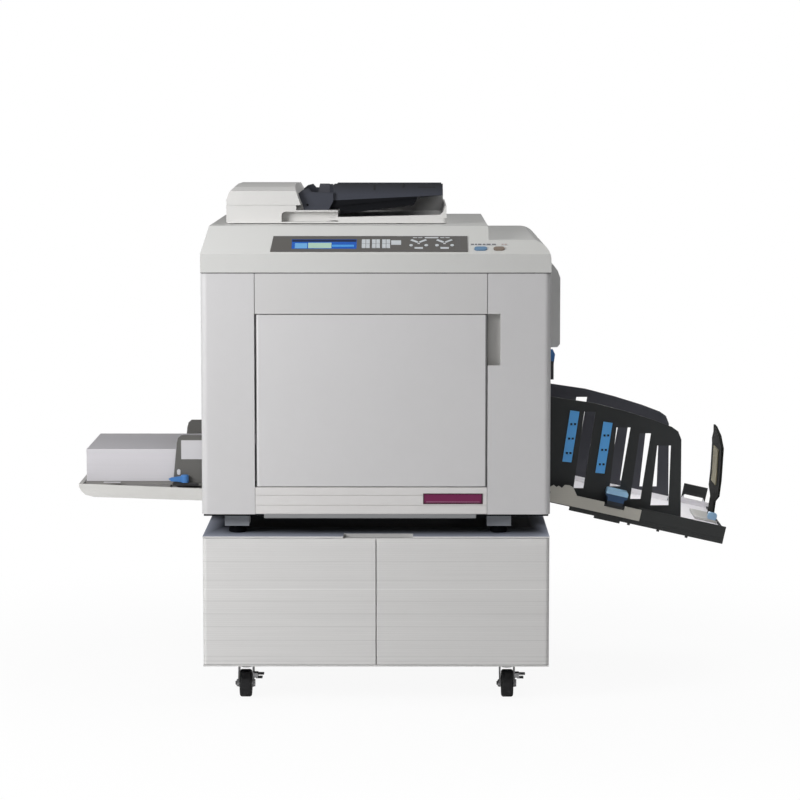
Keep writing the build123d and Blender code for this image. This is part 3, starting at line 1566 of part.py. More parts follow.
def end_guide_knob():
    """The blue grip beside the foot of the end stop."""
    return soften_all(on_tray((368, -62, 6.0), (388, -46, 21.0)), 4.0, Axis.Y)


def group(*shapes):
    """Put separate solids in one node without joining them."""
    return Compound(children=[solid for shape in shapes for solid in shape.solids()])


def write(node, shape):
    """Write one named node as its own file."""
    export_step(shape, "parts/" + node + ".step")


def write_stand():
    """Write the cabinet, its doors and its casters."""
    write("cabinet_carcass", cabinet_carcass() + caster_plates())
    hinge_left, hinge_right = door_hinge_xs()
    write("cabinet_door_left", cabinet_door(hinge_left, STAND_MIDDLE - 1))
    write("cabinet_door_right", cabinet_door(hinge_right, STAND_MIDDLE + 1))
    for name, (x, y) in caster_spots():
        braked = name.startswith("front")
        fork = caster_fork_with_brake if braked else caster_fork
        write("caster_fork_" + name, fork(x, y))
        write("caster_wheel_" + name, caster_wheel(x, y))
        if braked:
            write("brake_lever_" + name, brake_lever(x, y))


def write_body():
    """Write the covers, the base and the scanner housing with its controls."""
    write("base_frame", base_frame())
    write("rubber_feet", rubber_feet())
    write("left_cover", left_cover())
    write("right_cover", right_cover())
    write("front_upper_panel", front_upper_panel())
    write("front_skirt", front_skirt())
    write("front_cover", front_cover())
    write("rear_cover", group(rear_cover(), power_inlet()))
    write("side_housing", group(side_housing(), wing_lever_mount()))
    write("wing_lever", wing_lever())
    write("scanner_housing", scanner_housing() + lid_hinge_blocks())
    write("stage_glass", stage_glass())
    write("scan_carriage", scan_carriage())
    write("control_panel", group(control_panel(), lcd_screen(), keypad_caps()))
    write("start_key", key_shape(START_KEY, 0, -KEY_DEEP, KEY_PROUD))
    write("stop_key", key_shape(STOP_KEY, 0, -KEY_DEEP, KEY_PROUD))


def write_engine():
    """Write the frame, the drums, the rollers and the other pieces inside."""
    write("machine_frame", machine_frame())
    for number, x in enumerate(DRUM_XS, start=1):
        write("drum_frame_%d" % number, drum_frame(x))
        write("drum_screen_%d" % number, drum_screen(x))
        write("ink_cartridge_%d" % number, ink_cartridge(x))
        write("press_roller_%d" % number, press_roller(x))
    write("feed_roller", feed_roller())
    write("conveyors", transfer_unit() + exit_conveyor())
    write("master_unit", group(master_unit(), master_roll()))
    write("disposal_box", disposal_box())
    write("drive_motor", drive_motor())
    write("power_and_control_boards", group(power_supply(), control_board()))


def write_feeder():
    """Write the document feeder and its lid."""
    write("adf_lid", adf_lid())
    write("adf_top_cover", adf_top_cover())
    write("adf_roller", adf_roller())
    write("adf_tray", adf_tray())
    write("adf_guide_front", adf_guide(-1))
    write("adf_guide_rear", adf_guide(1))


def write_trays():
    """Write the feed tray and the receiving tray with their guides."""
    write("feed_tray", group(feed_tray(), feed_platform()))
    write("feed_guide_front", feed_guide(-1))
    write("feed_guide_rear", feed_guide(1))
    write("feed_lock_lever", feed_lock_lever())
    write("paper_stack", paper_stack())
    write("receiving_tray", group(receiving_tray(), receiving_rails()))
    write("receiving_tray_floor", receiving_tray_floor())
    for name, side in (("front", -1), ("rear", 1)):
        write("receiving_guide_" + name, group(receiving_guide(side), arrangers(side), guide_knob(side)))
    write("end_guide", group(end_guide(), end_guide_pad(), end_guide_knob()))


write_stand()
write_body()
write_engine()
write_feeder()
write_trays()
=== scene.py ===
# %% [markdown]
# A digital duplicator, dressed for its portrait.
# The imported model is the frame: every cover, tray, roller and wheel is already at its real
# place and size, in metres, with the front facing -Y. This lesson gives each one its finish,
# and adds the small pieces that are easier to model here than as solids.

# %% Load the frame
import math
import bpy
import bmesh
from mathutils import Matrix, Vector
from mathutils.bvhtree import BVHTree


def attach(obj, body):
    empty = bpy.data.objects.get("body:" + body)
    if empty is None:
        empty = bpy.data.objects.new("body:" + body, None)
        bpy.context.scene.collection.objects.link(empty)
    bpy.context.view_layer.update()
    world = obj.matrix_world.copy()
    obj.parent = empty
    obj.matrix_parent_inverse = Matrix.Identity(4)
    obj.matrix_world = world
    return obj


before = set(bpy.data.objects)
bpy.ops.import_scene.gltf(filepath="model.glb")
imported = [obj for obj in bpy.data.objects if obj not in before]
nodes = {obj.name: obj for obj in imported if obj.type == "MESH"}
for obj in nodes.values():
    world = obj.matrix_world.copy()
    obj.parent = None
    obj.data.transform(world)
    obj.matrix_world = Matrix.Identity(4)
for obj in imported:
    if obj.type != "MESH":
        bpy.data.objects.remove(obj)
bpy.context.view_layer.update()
MM = 0.001               # one millimetre in metres

# %% [markdown]
# The photograph was taken from far away with a long lens, a little above the middle of the
# machine and pointing down by six degrees. The numbers come from matching corners whose real
# places are known: the front face, the paper stack, the tray ends and the wheels on the floor.

# %% Camera
CAMERA_PLACE = (0.0140, -6.5710, 1.3081)
CAMERA_PITCH = math.radians(5.987)
CAMERA_YAW = math.radians(0.182)
CAMERA_LENS = 132.0
CAMERA_FILM = 36.0
lens = bpy.data.cameras.new("camera")
lens.lens = CAMERA_LENS
lens.sensor_width = CAMERA_FILM
camera = bpy.data.objects.new("camera", lens)
camera.location = CAMERA_PLACE
camera.rotation_euler = (math.radians(90) - CAMERA_PITCH, 0, CAMERA_YAW)
bpy.context.scene.collection.objects.link(camera)
bpy.context.scene.camera = camera
print("camera", round(-CAMERA_PLACE[1], 2), "m in front, lens", CAMERA_LENS)

# %% [markdown]
# Shader maths reads best as arithmetic. This class wraps one socket of a node tree, and each
# operator on it adds the Math node that does the work, so a mask can be written as 1 - wear.


# %% A socket that does arithmetic
class Value:
    """A shader socket that Python's operators work on."""

    def __init__(self, tree, socket):
        self.tree = tree
        self.socket = socket

    def math(self, operation, *values):
        node = self.tree.nodes.new("ShaderNodeMath")
        node.operation = operation
        for socket, value in zip(node.inputs, values):
            feed(self.tree, socket, value)
        return Value(self.tree, node.outputs[0])

    def __add__(self, other):
        return self.math("ADD", self, other)

    def __sub__(self, other):
        return self.math("SUBTRACT", self, other)

    def __rsub__(self, other):
        return self.math("SUBTRACT", other, self)

    def __mul__(self, other):
        return self.math("MULTIPLY", self, other)

    def __mod__(self, other):
        return self.math("FLOORED_MODULO", self, other)

    def __gt__(self, other):
        return self.math("GREATER_THAN", self, other)

    def __lt__(self, other):
        return self.math("LESS_THAN", self, other)

    def __abs__(self):
        return self.math("ABSOLUTE", self)

    __radd__ = __add__
    __rmul__ = __mul__


def feed(tree, socket, value):
    """Link a Value to a socket, or set the socket's own value."""
    if isinstance(value, Value):
        tree.links.new(value.socket, socket)
    else:
        socket.default_value = value


def linear(red, green, blue):
    """A colour picked as 0 to 255 values, as the linear colour that shaders use."""
    shares = [channel / 255 for channel in (red, green, blue)]
    return [s / 12.92 if s <= 0.04045 else ((s + 0.055) / 1.055) ** 2.4 for s in shares] + [1.0]


print("half way up in a picture is", round(linear(128, 128, 128)[0], 3), "of the light")

# %% [markdown]
# A recipe is one node tree. Its node method makes any node from its type, its settings and
# the values or links of its sockets, so that each recipe below reads from top to bottom. A
# finish is the recipe of one material.


# %% A recipe and a finish
FINE_GRAIN = 2600.0      # cells per metre
GRAIN_HEIGHT = 0.0004    # metres
DOTS_PER_METRE = 1400.0


class Recipe:
    """A node tree, filled from top to bottom."""

    def __init__(self, tree):
        self.tree = tree

    def node(self, kind, settings=None, out=0, **sockets):
        """Any node: its settings are attributes, and the rest are its input sockets."""
        made = self.tree.nodes.new(kind)
        for name, value in (settings or {}).items():
            setattr(made, name, value)
        for name, value in sockets.items():
            key = int(name[1:]) if name[1:].isdigit() else name.replace("_", " ")
            feed(self.tree, made.inputs[key], value)
        return Value(self.tree, made.outputs[out])

    def ramp(self, value, low, high, at_low=0.0, at_high=1.0, kind="LINEAR"):
        """Turn a value between low and high into one between two others."""
        settings = {"interpolation_type": kind}
        ends = {"_1": low, "_2": high, "_3": at_low, "_4": at_high}
        return self.node("ShaderNodeMapRange", settings, _0=value, **ends)


class Finish(Recipe):
    """One material, built on a Principled shader."""

    def __init__(self, name, roughness=0.5, metallic=0.0, coat=0.0):
        self.material = bpy.data.materials.new(name)
        self.material.use_nodes = True
        super().__init__(self.material.node_tree)
        self.shader = self.tree.nodes["Principled BSDF"]
        self.set(Roughness=roughness, Metallic=metallic, Coat_Weight=coat)
        self.place = self.node("ShaderNodeTexCoord", out="Object")

    def set(self, **sockets):
        for name, value in sockets.items():
            feed(self.tree, self.shader.inputs[name.replace("_", " ")], value)

    def axis(self, letter):
        """One coordinate in metres, in the machine's own frame."""
        return self.node("ShaderNodeSeparateXYZ", out=letter, Vector=self.place)

    def stretched(self, x, y, z):
        """The machine's coordinates, stretched for a texture with a direction."""
        squeeze = {"operation": "MULTIPLY"}
        return self.node("ShaderNodeVectorMath", squeeze, _0=self.place, _1=(x, y, z))

    def noise(self, scale, detail=3.0, vector=None):
        """Soft noise from 0 to 1; scale is in cells per metre."""
        return self.node("ShaderNodeTexNoise", Vector=vector or self.place, Scale=scale, Detail=detail)

    def mix(self, factor, low, high):
        """A colour between two colours."""
        return self.node("ShaderNodeMix", {"data_type": "RGBA"}, out=2, Factor=factor, _6=low, _7=high)

    def bump(self, height, strength, distance):
        """A normal for a height in metres times distance."""
        return self.node("ShaderNodeBump", Height=height, Strength=strength, Distance=distance)

    def grain(self, depth=0.12, scale=FINE_GRAIN, detail=2.0):
        """Give the whole surface a fine moulded grain."""
        self.set(Normal=self.bump(self.noise(scale, detail), depth, GRAIN_HEIGHT))

    def checks(self):
        """The square dots of a display, each as 0 or 1."""
        return self.node("ShaderNodeTexChecker", Vector=self.place, Scale=DOTS_PER_METRE, out="Fac")


print("moulded grain:", FINE_GRAIN, "cells per metre")

# %% [markdown]
# Most of the machine is moulded plastic, so one recipe makes all of it. The shade drifts a
# little over large soft patches, dust and handling shift it again at a finer scale, and a
# spark-eroded grain breaks up the highlights. Only the numbers change from piece to piece.


# %% Moulded plastic
SEAM_PAINTED_SHADE = (40, 40, 42)
SEAM_DARKNESS = 0.75
PATCH_SCALE = 2.3        # cells per metre of the soft patches, of the dust and of the shine
DUST_SCALE = 31.0
SHINE_SCALE = 45.0
SHINE_DRIFT = 0.12


def plastic(name, colour, roughness=0.5, drift=0.035, grain=0.12, grain_scale=FINE_GRAIN,
            coat=0.0, seams=(), gap=0.0012):
    """Moulded plastic; drift is how far its shade wanders, grain how deep its texture is.

    Each seam is an axis and a place in metres where the covers meet, with painted shade in the gap.
    The painted shade reaches as far as gap on both sides of it.
    """
    finish = Finish(name, roughness, coat=coat)
    base = linear(*colour)
    darker = [channel * (1 - 2 * drift) for channel in base[:3]] + [1.0]
    patches = finish.noise(PATCH_SCALE, 2.0) * 0.65 + finish.noise(DUST_SCALE, 4.0) * 0.35
    shade_of = finish.mix(patches, darker, base)
    # Painted shade: each seam darkens the colour in a thin band where the covers meet.
    for letter, place in seams:
        near = abs(finish.axis(letter) - place) < gap
        shade_of = finish.mix(near * SEAM_DARKNESS, shade_of, linear(*SEAM_PAINTED_SHADE))
    finish.set(Base_Color=shade_of)
    shine = finish.noise(SHINE_SCALE, 3.0) * SHINE_DRIFT
    finish.set(Roughness=shine + (roughness - SHINE_DRIFT / 2))
    finish.grain(grain, grain_scale)
    return finish


print("plastic recipe ready; painted shade in the seams is", SEAM_PAINTED_SHADE)

# %% [markdown]
# The shades were picked to match the photograph under the lamps below. The covers are nearly one
# grey, the feeder is paler, and everything that guides the printed sheets is nearly black.

# %% Shades of plastic
TOP_SEAM = ("Z", 0.9276)
# These seams and door edges carry painted shade in their gaps.
PANEL_SEAMS = [TOP_SEAM, ("X", -0.3149), ("X", 0.1800)]
DOOR_EDGES = [("X", -0.3133), ("X", 0.1784), ("Z", 0.8442), ("Z", 0.4668)]
casing = plastic("casing", (201, 200, 201), 0.52, seams=[TOP_SEAM])
upper = plastic("upper panel", (200, 199, 199), 0.52, seams=PANEL_SEAMS)
door = plastic("front door", (204, 203, 204), 0.52, seams=DOOR_EDGES, gap=0.0029)
skirt = plastic("front skirt", (214, 212, 211), 0.52)
lip_painted_shade = plastic("body lip", (136, 137, 139), 0.60)
housing = plastic("scanner casing", (203, 203, 201), 0.50, seams=[TOP_SEAM])
housing_top_painted_light = plastic("scanner casing top", (222, 222, 220), 0.50)
feeder = plastic("feeder casing", (219, 218, 216), 0.48)
exit_tray_painted_light = plastic("exit tray", (242, 241, 239), 0.50)
stay_painted_light = plastic("tray stay", (196, 196, 196), 0.55)
pocket = plastic("finger pocket", (206, 205, 203), 0.60)
side_dark = plastic("side housing", (210, 210, 209), 0.58)
wedge_painted_shadow = plastic("document tray wedge", (20, 21, 25), 0.60, drift=0.08)
black_tray = plastic("tray frame black", (40, 42, 42), 0.52, drift=0.08)
guide_black = plastic("guide black", (34, 37, 38), 0.50, drift=0.08)
guide_grey = plastic("feed guide grey", (94, 93, 90), 0.50, drift=0.06)
guide_soft = plastic("rear guide grey", (62, 63, 71), 0.55, drift=0.06)
pale_tray = plastic("pale tray", (204, 203, 200), 0.50)
plate_grey = plastic("paper plate", (134, 132, 130), 0.55, drift=0.06)
shadow_black = plastic("body underside", (5, 8, 13), 0.60, drift=0.10)
key_pale = plastic("pale keys", (205, 210, 214), 0.42, grain=0.05)
blue_strip = plastic("arranger blue", (98, 184, 254), 0.42, drift=0.06, grain=0.08)
blue_grip = plastic("grip blue", (160, 200, 234), 0.38, drift=0.05, grain=0.06, coat=0.1)
blue_deep = plastic("lever blue", (66, 122, 186), 0.38, drift=0.06, grain=0.06, coat=0.1)
start_blue = plastic("start key", (102, 138, 172), 0.36, grain=0.04, coat=0.2)
stop_brown = plastic("stop key", (132, 118, 106), 0.36, grain=0.04, coat=0.2)
rubber = plastic("rubber", (34, 34, 36), 0.72, drift=0.10, grain=0.25, grain_scale=900.0)
tyre = plastic("wheel rubber", (24, 24, 27), 0.62, drift=0.10, grain=0.25, grain_scale=900.0)
engine_black = plastic("engine plastic", (62, 62, 66), 0.55, drift=0.08)
drum_green = plastic("drum handle", (58, 108, 96), 0.48, drift=0.06)
ink_dark = plastic("ink cartridge", (56, 58, 64), 0.35, drift=0.05, coat=0.2)
end_pad_painted_highlight = plastic("end pad", (162, 155, 126), 0.75, drift=0.06, grain=0.30, grain_scale=700.0)
leaf_grey = plastic("end leaf", (30, 31, 29), 0.85, drift=0.08)
DULL = 0.1
for finish in (leaf_grey, shadow_black, wedge_painted_shadow):
    finish.set(Specular_IOR_Level=DULL)
plate_magenta = plastic("name plate", (114, 26, 76), 0.40, drift=0.05, grain=0.05)
plate_dark = plastic("name plate rim", (70, 24, 46), 0.40, drift=0.05, grain=0.05)
plate_pink = plastic("name plate line", (168, 122, 146), 0.40, drift=0.04, grain=0.05)
mark_dark = plastic("printed mark", (104, 104, 108), 0.50, drift=0.05, grain=0.03)
mark_brown = plastic("brown printed mark", (176, 158, 150), 0.50, drift=0.05, grain=0.03)
mark_pale = plastic("pale printed mark", (206, 208, 210), 0.50, drift=0.03, grain=0.03)
capacitor_blue = plastic("capacitor sleeve", (44, 60, 92), 0.35, drift=0.05, grain=0.03, coat=0.2)
panel_grey = plastic("panel grey", (98, 96, 93), 0.46, drift=0.05)
label_white = plastic("label place", (196, 195, 198), 0.60, drift=0.02, grain=0.03)
print("plastics ready:", len([m for m in bpy.data.materials if m.use_nodes]))

# %% [markdown]
# Metal needs a direction. The rolled sheet and the pressed forks carry fine streaks, made by
# noise that is squeezed along one axis, and they show in the roughness more than in the shade.


# %% Metals
STREAK_HEIGHT = 0.0003   # metres


def metal(name, colour, roughness, streak=(4.0, 900.0, 900.0), paint=0.0):
    """Sheet or turned metal; streak gives the texture's cells per metre along each axis."""
    finish = Finish(name, roughness, metallic=1.0 - paint)
    base = linear(*colour)
    darker = [channel * 0.82 for channel in base[:3]] + [1.0]
    lines = finish.noise(1.0, 3.0, finish.stretched(*streak))
    finish.set(Base_Color=finish.mix(lines * 0.7 + finish.noise(9.0) * 0.3, darker, base))
    finish.set(Roughness=lines * 0.22 + (roughness - 0.08))
    finish.set(Normal=finish.bump(lines, 0.10, STREAK_HEIGHT))
    return finish


zinc = metal("zinc plated steel", (186, 186, 188), 0.36)
caster_steel = metal("caster steel", (120, 120, 124), 0.42, (300.0, 300.0, 6.0))
frame_sheet = metal("frame sheet", (176, 178, 180), 0.38, (6.0, 700.0, 90.0))
rail_metal = metal("tray rail", (200, 197, 188), 0.40, (5.0, 500.0, 700.0), paint=0.4)
base_paint = metal("painted base", (172, 176, 182), 0.50, paint=1.0)
motor_paint = metal("motor paint", (74, 75, 80), 0.45, paint=0.8)
print("metals ready")

# %% [markdown]
# The stand is laminated board with a fine level reed: thin lines that run from side to side
# over the doors and the carcass. A few of them are deeper, with painted shade in them that
# fades in and out along their length, and one stands out as a paler line of painted highlight;
# they show as faint level bands.

# %% Stand board
REED_PITCH = 0.0047      # metres, as all the values in this cell
LINE_REACH = 0.0010
GROOVES = (0.0940, 0.1040, 0.1389, 0.1688, 0.1966, 0.2243, 0.2692, 0.3098)
CREST = 0.2500
board = Finish("stand board", 0.46)
height = board.axis("Z")
phase = height * (2 * math.pi / REED_PITCH)
reed = board.node("ShaderNodeMath", {"operation": "SINE"}, _0=phase) * 0.5 + 0.5
bands = board.noise(1.0, 2.0, board.stretched(0.6, 0.6, 34.0))
grain = board.noise(1.0, 4.0, board.stretched(5.0, 5.0, 420.0))
lines = bands * 0.45 + grain * 0.45 + reed * 0.10
board_shade = board.mix(lines, linear(196, 195, 194), linear(223, 222, 221))
groove = 0.0
for level in GROOVES:
    groove = (abs(height - level) < LINE_REACH) + groove
painted_line_fade = board.noise(1.0, 3.0, board.stretched(5.0, 5.0, 300.0))
# Painted shade in the deeper grooves, and a painted highlight along the crest line.
groove_painted_shade = board.mix(groove * painted_line_fade * 0.3, board_shade, linear(142, 141, 140))
crest_painted_highlight = abs(height - CREST) < LINE_REACH
board.set(Base_Color=board.mix(crest_painted_highlight * painted_line_fade * 0.8, groove_painted_shade, linear(238, 237, 236)))
board.set(Roughness=grain * 0.15 + 0.40)
board.set(Normal=board.bump(reed * 0.4 + bands - groove * 0.6, 0.12, 0.0006))
print("stand board with", len(GROOVES), "grooves")

# %% [markdown]
# Four surfaces change with their place. The deck is painted paler towards its left end, as
# painted light, and the dark document tray is darkest along its upper edge. The receiving
# tray's pale floor has fine ribs along the paper's way. The stand's dark top has painted light
# along its front edge and at its ends, and painted shadow, nearly black, where the body stands over it.

# %% Deck and document tray
deck_painted_light = Finish("scanner deck", 0.50)
DECK_ENDS = (-0.40, 0.30)
# Painted light: the deck's colour is paler towards its left end.
to_right = deck_painted_light.ramp(deck_painted_light.axis("X"), *DECK_ENDS)
deck_share = to_right * 0.85 + deck_painted_light.noise(PATCH_SCALE, 2.0) * 0.15
deck_painted_light.set(Base_Color=deck_painted_light.mix(deck_share, linear(222, 222, 220), linear(200, 200, 197)))
deck_painted_light.grain()
dark_tray = Finish("document tray", 0.50)
TRAY_HEIGHTS = (1.086, 1.109)
tray_share = dark_tray.ramp(dark_tray.axis("Z"), *TRAY_HEIGHTS) * 0.9 + dark_tray.noise(9.0) * 0.1
dark_tray.set(Base_Color=dark_tray.mix(tray_share, linear(54, 57, 68), linear(26, 28, 33)))
dark_tray.grain()
print("deck and document tray ready")

# %% Tray floor and stand top
floor_pale = Finish("tray floor", 0.55)
RIB_PITCH = 0.016
RIB_REACH = 0.0016
rib = abs(floor_pale.axis("Y") % RIB_PITCH - RIB_PITCH / 2) < RIB_REACH
floor_share = rib * 0.5 + floor_pale.noise(14.0) * 0.5
floor_pale.set(Base_Color=floor_pale.mix(floor_share, linear(236, 233, 238), linear(252, 251, 253)))
floor_pale.set(Normal=floor_pale.bump(rib, 0.5, 0.0008))
stand_top_painted_light_and_shade = Finish("stand top", 0.95)
stand_top_painted_light_and_shade.set(Specular_IOR_Level=0.05)
STAND_MIDDLE = -0.057
# Painted light along the front edge and at the ends, and painted shadow, nearly black, under the body.
front_edge = stand_top_painted_light_and_shade.ramp(stand_top_painted_light_and_shade.axis("Y"), -0.355, -0.22, at_low=1.0, at_high=0.0)
ends = stand_top_painted_light_and_shade.ramp(abs(stand_top_painted_light_and_shade.axis("X") - STAND_MIDDLE), 0.335, 0.372)
painted_light_share = front_edge.math("MAXIMUM", front_edge, ends) * 0.9 + stand_top_painted_light_and_shade.noise(6.0) * 0.1
stand_top_painted_light_and_shade.set(Base_Color=stand_top_painted_light_and_shade.mix(painted_light_share, linear(4, 8, 17), linear(166, 171, 186)))
stand_top_painted_light_and_shade.grain(0.10, 1800.0, detail=3.0)
print("tray floor and stand top ready")

# %% [markdown]
# Paper in a stack shows its sheets as very thin level lines on the sides, never quite even.
# On the top there are only a soft tooth and the faint shade of a sheet that isn't pressed flat.

# %% Paper
paper = Finish("paper", 0.80)
sheet = paper.noise(1.0, 5.0, paper.stretched(1.6, 1.6, 2400.0))
ream = paper.noise(1.0, 2.0, paper.stretched(0.9, 0.9, 120.0))
paper.set(Base_Color=paper.mix(sheet * 0.6 + ream * 0.4, linear(188, 186, 190), linear(212, 210, 214)))
paper.set(Normal=paper.bump(sheet + paper.noise(600.0) * 0.3, 0.25, 0.0005))
print("paper ready")

# %% [markdown]
# The display is lit from behind. Its glow is weak here, because the photograph shows it as
# a deep blue that is only a little brighter than the panel round it.

# %% Display and glass
lcd = Finish("display blue", 0.22, coat=0.5)
lcd_share = lcd.checks() * 0.3 + lcd.noise(60.0) * 0.4
lcd_shade = lcd.mix(lcd_share, linear(18, 70, 150), linear(30, 96, 190))
lcd.set(Base_Color=lcd_shade, Emission_Color=lcd_shade, Emission_Strength=0.30)


def lit(name, colour, glow):
    """One lit or dark area of the display."""
    finish = Finish(name, 0.30, coat=0.4)
    low = [channel * 0.88 for channel in linear(*colour)[:3]] + [1.0]
    area = finish.mix(finish.checks() * 0.4 + finish.noise(40.0) * 0.6, low, linear(*colour))
    finish.set(Base_Color=area, Emission_Color=area, Emission_Strength=glow)
    return finish


lcd_band = lit("display band", (16, 34, 72), 0.04)
lcd_pale = lit("display light blue", (104, 164, 214), 0.20)
lcd_green = lit("display pale green", (172, 204, 186), 0.15)
lcd_bar = lit("display bar", (70, 146, 212), 0.25)
glass = Finish("stage glass", 0.06)
glass.set(Base_Color=glass.mix(glass.noise(3.0), linear(150, 160, 158), linear(176, 184, 182)))
glass.set(Alpha=glass.noise(5.0) * 0.08 + 0.36, Coat_Weight=0.6)
glass.material.surface_render_method = "BLENDED"
circuit = Finish("circuit board", 0.40, coat=0.3)
square = {"distance": "MANHATTAN"}
tracks = circuit.node("ShaderNodeTexVoronoi", square, Vector=circuit.place, Scale=160.0)
circuit.set(Base_Color=circuit.mix(tracks * 1.4, linear(14, 60, 38), linear(46, 120, 72)))
circuit.set(Normal=circuit.bump(tracks, 0.3, 0.0004))
print("display, glass and circuit board ready")

# %% [markdown]
# The drum's screen is a steel cylinder with a fine mesh that ink passes through. Two sets of
# crossing lines make the mesh, one round the drum and one along it.

# %% Drum screen
mesh_steel = Finish("drum screen", 0.42, metallic=0.85)
MESH_PITCH = 0.0016
along = mesh_steel.axis("Y") % MESH_PITCH > MESH_PITCH / 2
round_it = mesh_steel.axis("Z") % MESH_PITCH > MESH_PITCH / 2
weave = along * round_it
inked = weave * 0.5 + mesh_steel.noise(26.0, 4.0) * 0.5
mesh_steel.set(Base_Color=mesh_steel.mix(inked, linear(58, 60, 64), linear(150, 152, 156)))
mesh_steel.set(Normal=mesh_steel.bump(weave, 0.4, 0.0004))
print("drum screen ready")

# %% [markdown]
# Each node is dressed in one call: its finish, smooth shading that stays sharp at real
# corners, and a small rounding of the corners so that they catch the light as moulded edges do.


# %% Tools for dressing
CORNER_ANGLE = math.radians(34.0)


def shade(piece, edge=0.6):
    """Smooth the curved faces, and round the corners by an edge width in millimetres."""
    mesh = piece.data
    mesh.polygons.foreach_set("use_smooth", [True] * len(mesh.polygons))
    mesh.set_sharp_from_angle(angle=CORNER_ANGLE)
    if edge:
        rounding = piece.modifiers.new("edge rounding", "BEVEL")
        rounding.width = edge * MM
        rounding.segments = 2
        rounding.limit_method = "ANGLE"
        rounding.angle_limit = CORNER_ANGLE
        rounding.harden_normals = True


def dress(names, finish, edge=0.6):
    """Give nodes one finish; names are separated by spaces."""
    for name in names.split():
        piece = nodes[name]
        piece.data.materials.clear()
        piece.data.materials.append(finish.material)
        shade(piece, edge=edge)


def paint(name, finish, faces):
    """Give some faces of a node another finish."""
    mesh = nodes[name].data
    mesh.materials.append(finish.material)
    slot = len(mesh.materials) - 1
    for face in faces:
        face.material_index = slot
    print(name, "has", len(faces), "faces in", finish.material.name)


def patch(name, finish, inside):
    """Paint the faces of a node whose middle point, in millimetres, passes a test."""
    paint(name, finish, [face for face in nodes[name].data.polygons if inside(*(face.center / MM))])


print("tools for", len(nodes), "nodes ready")

# %% [markdown]
# Some nodes hold several solids, such as a tray with its plate. A whole solid is picked by its
# lowest and highest corner, and takes a finish of its own.

# %% Tools for separate solids
MEETS = 50               # corners meet when they are within a fiftieth of a millimetre


def solids(mesh):
    """The faces of each separate solid: faces belong together when their corners meet."""
    leader = {}

    def first(corner):
        while leader.setdefault(corner, corner) != corner:
            corner = leader[corner]
        return corner

    corners = [tuple(round(value / MM * MEETS) for value in vertex.co) for vertex in mesh.vertices]
    for face in mesh.polygons:
        for vertex in face.vertices[1:]:
            leader[first(corners[vertex])] = first(corners[face.vertices[0]])
    groups = {}
    for face in mesh.polygons:
        groups.setdefault(first(corners[face.vertices[0]]), []).append(face)
    return list(groups.values())


def patch_solid(name, finish, chosen):
    """Paint each whole solid whose lowest and highest corner, in millimetres, pass a test."""
    mesh = nodes[name].data
    faces = []
    for group in solids(mesh):
        points = [mesh.vertices[vertex].co / MM for face in group for vertex in face.vertices]
        low = Vector(min(point[axis] for point in points) for axis in range(3))
        high = Vector(max(point[axis] for point in points) for axis in range(3))
        if chosen(low, high):
            faces += group
    paint(name, finish, faces)


print("feed tray:", len(solids(nodes["feed_tray"].data)), "solids")

# %% [markdown]
# The body's covers are moulded separately, so the door, the panel over it and the skirt each
# differ a little from the casing. Painted shade lies in the gaps between the covers and round
# the door. The pocket beside the door and the housing on the right side are a little duller,
# and the scanner's top is painted paler, as painted light.

# %% Body covers
COVER_EDGE = 1.4         # rounding of the large covers, in millimetres
dress("left_cover right_cover rear_cover", casing, edge=COVER_EDGE)
dress("front_cover", door, edge=COVER_EDGE)
dress("front_skirt", skirt, edge=COVER_EDGE)
dress("front_upper_panel", upper, edge=COVER_EDGE)
patch("right_cover", pocket, lambda x, y, z: 180 < x < 208 and y > -367 and 730 < z < 842)
dress("side_housing", side_dark, edge=1.0)
patch_solid("side_housing", engine_black, lambda low, high: high.z < 745)
patch_solid("rear_cover", engine_black, lambda low, high: high.z - low.z < 40)
dress("scanner_housing", housing, edge=1.2)
TOP_LEVEL = 0.96         # metres; the deck and the rim lie below it
# Painted light: the flat tops above TOP_LEVEL get a paler copy of the casing colour.
housing_faces = nodes["scanner_housing"].data.polygons
tops = [face for face in housing_faces if face.normal.z > 0.97 and face.center.z > TOP_LEVEL]
paint("scanner_housing", housing_top_painted_light, tops)
dress("stage_glass", glass, edge=0)
dress("scan_carriage", engine_black, edge=0.4)
dress("wing_lever", blue_deep)
BRACKET_TOP = 407.5
dress("base_frame", shadow_black, edge=0.5)
patch("base_frame", base_paint, lambda x, y, z: z < BRACKET_TOP)
dress("rubber_feet", shadow_black, edge=0.5)

# %% [markdown]
# The control panel is one node with many solids. Heights along the deck pick them out: the
# display lies in its window, and the key caps stand a millimetre proud.

# %% Control panel
DECK_FOOT = 968.0
DECK_FRONT = -367.5
DECK_TILT = math.atan2(55.0, 99.5)


def along_deck(y, z):
    """How far up the deck a point is, in millimetres from the deck's front edge."""
    return (y - DECK_FRONT) * math.cos(DECK_TILT) + (z - DECK_FOOT) * math.sin(DECK_TILT)


def off_deck(y, z):
    """How far a point stands out of the deck, in millimetres."""
    return (z - DECK_FOOT) * math.cos(DECK_TILT) - (y - DECK_FRONT) * math.sin(DECK_TILT)


def is_display(x, y, z):
    return -236.5 < x < -97.5 and 17 < along_deck(y, z) < 58.5 and off_deck(y, z) < 1.2


def is_deck(x, y, z):
    return abs(off_deck(y, z)) < 1.5 and 2 < along_deck(y, z) < 112


patch("scanner_housing", deck_painted_light, is_deck)
dress("control_panel", panel_grey, edge=0.3)
patch("control_panel", key_pale, lambda x, y, z: off_deck(y, z) > 1.55 and x < 140)
patch_solid("control_panel", mark_pale, lambda low, high: low.x > 140)
patch("control_panel", lcd, is_display)
dress("start_key", start_blue, edge=0.8)
dress("stop_key", stop_brown, edge=0.8)

# %% [markdown]
# The stand carries everything on four casters: zinc plates and forks, black wheels.

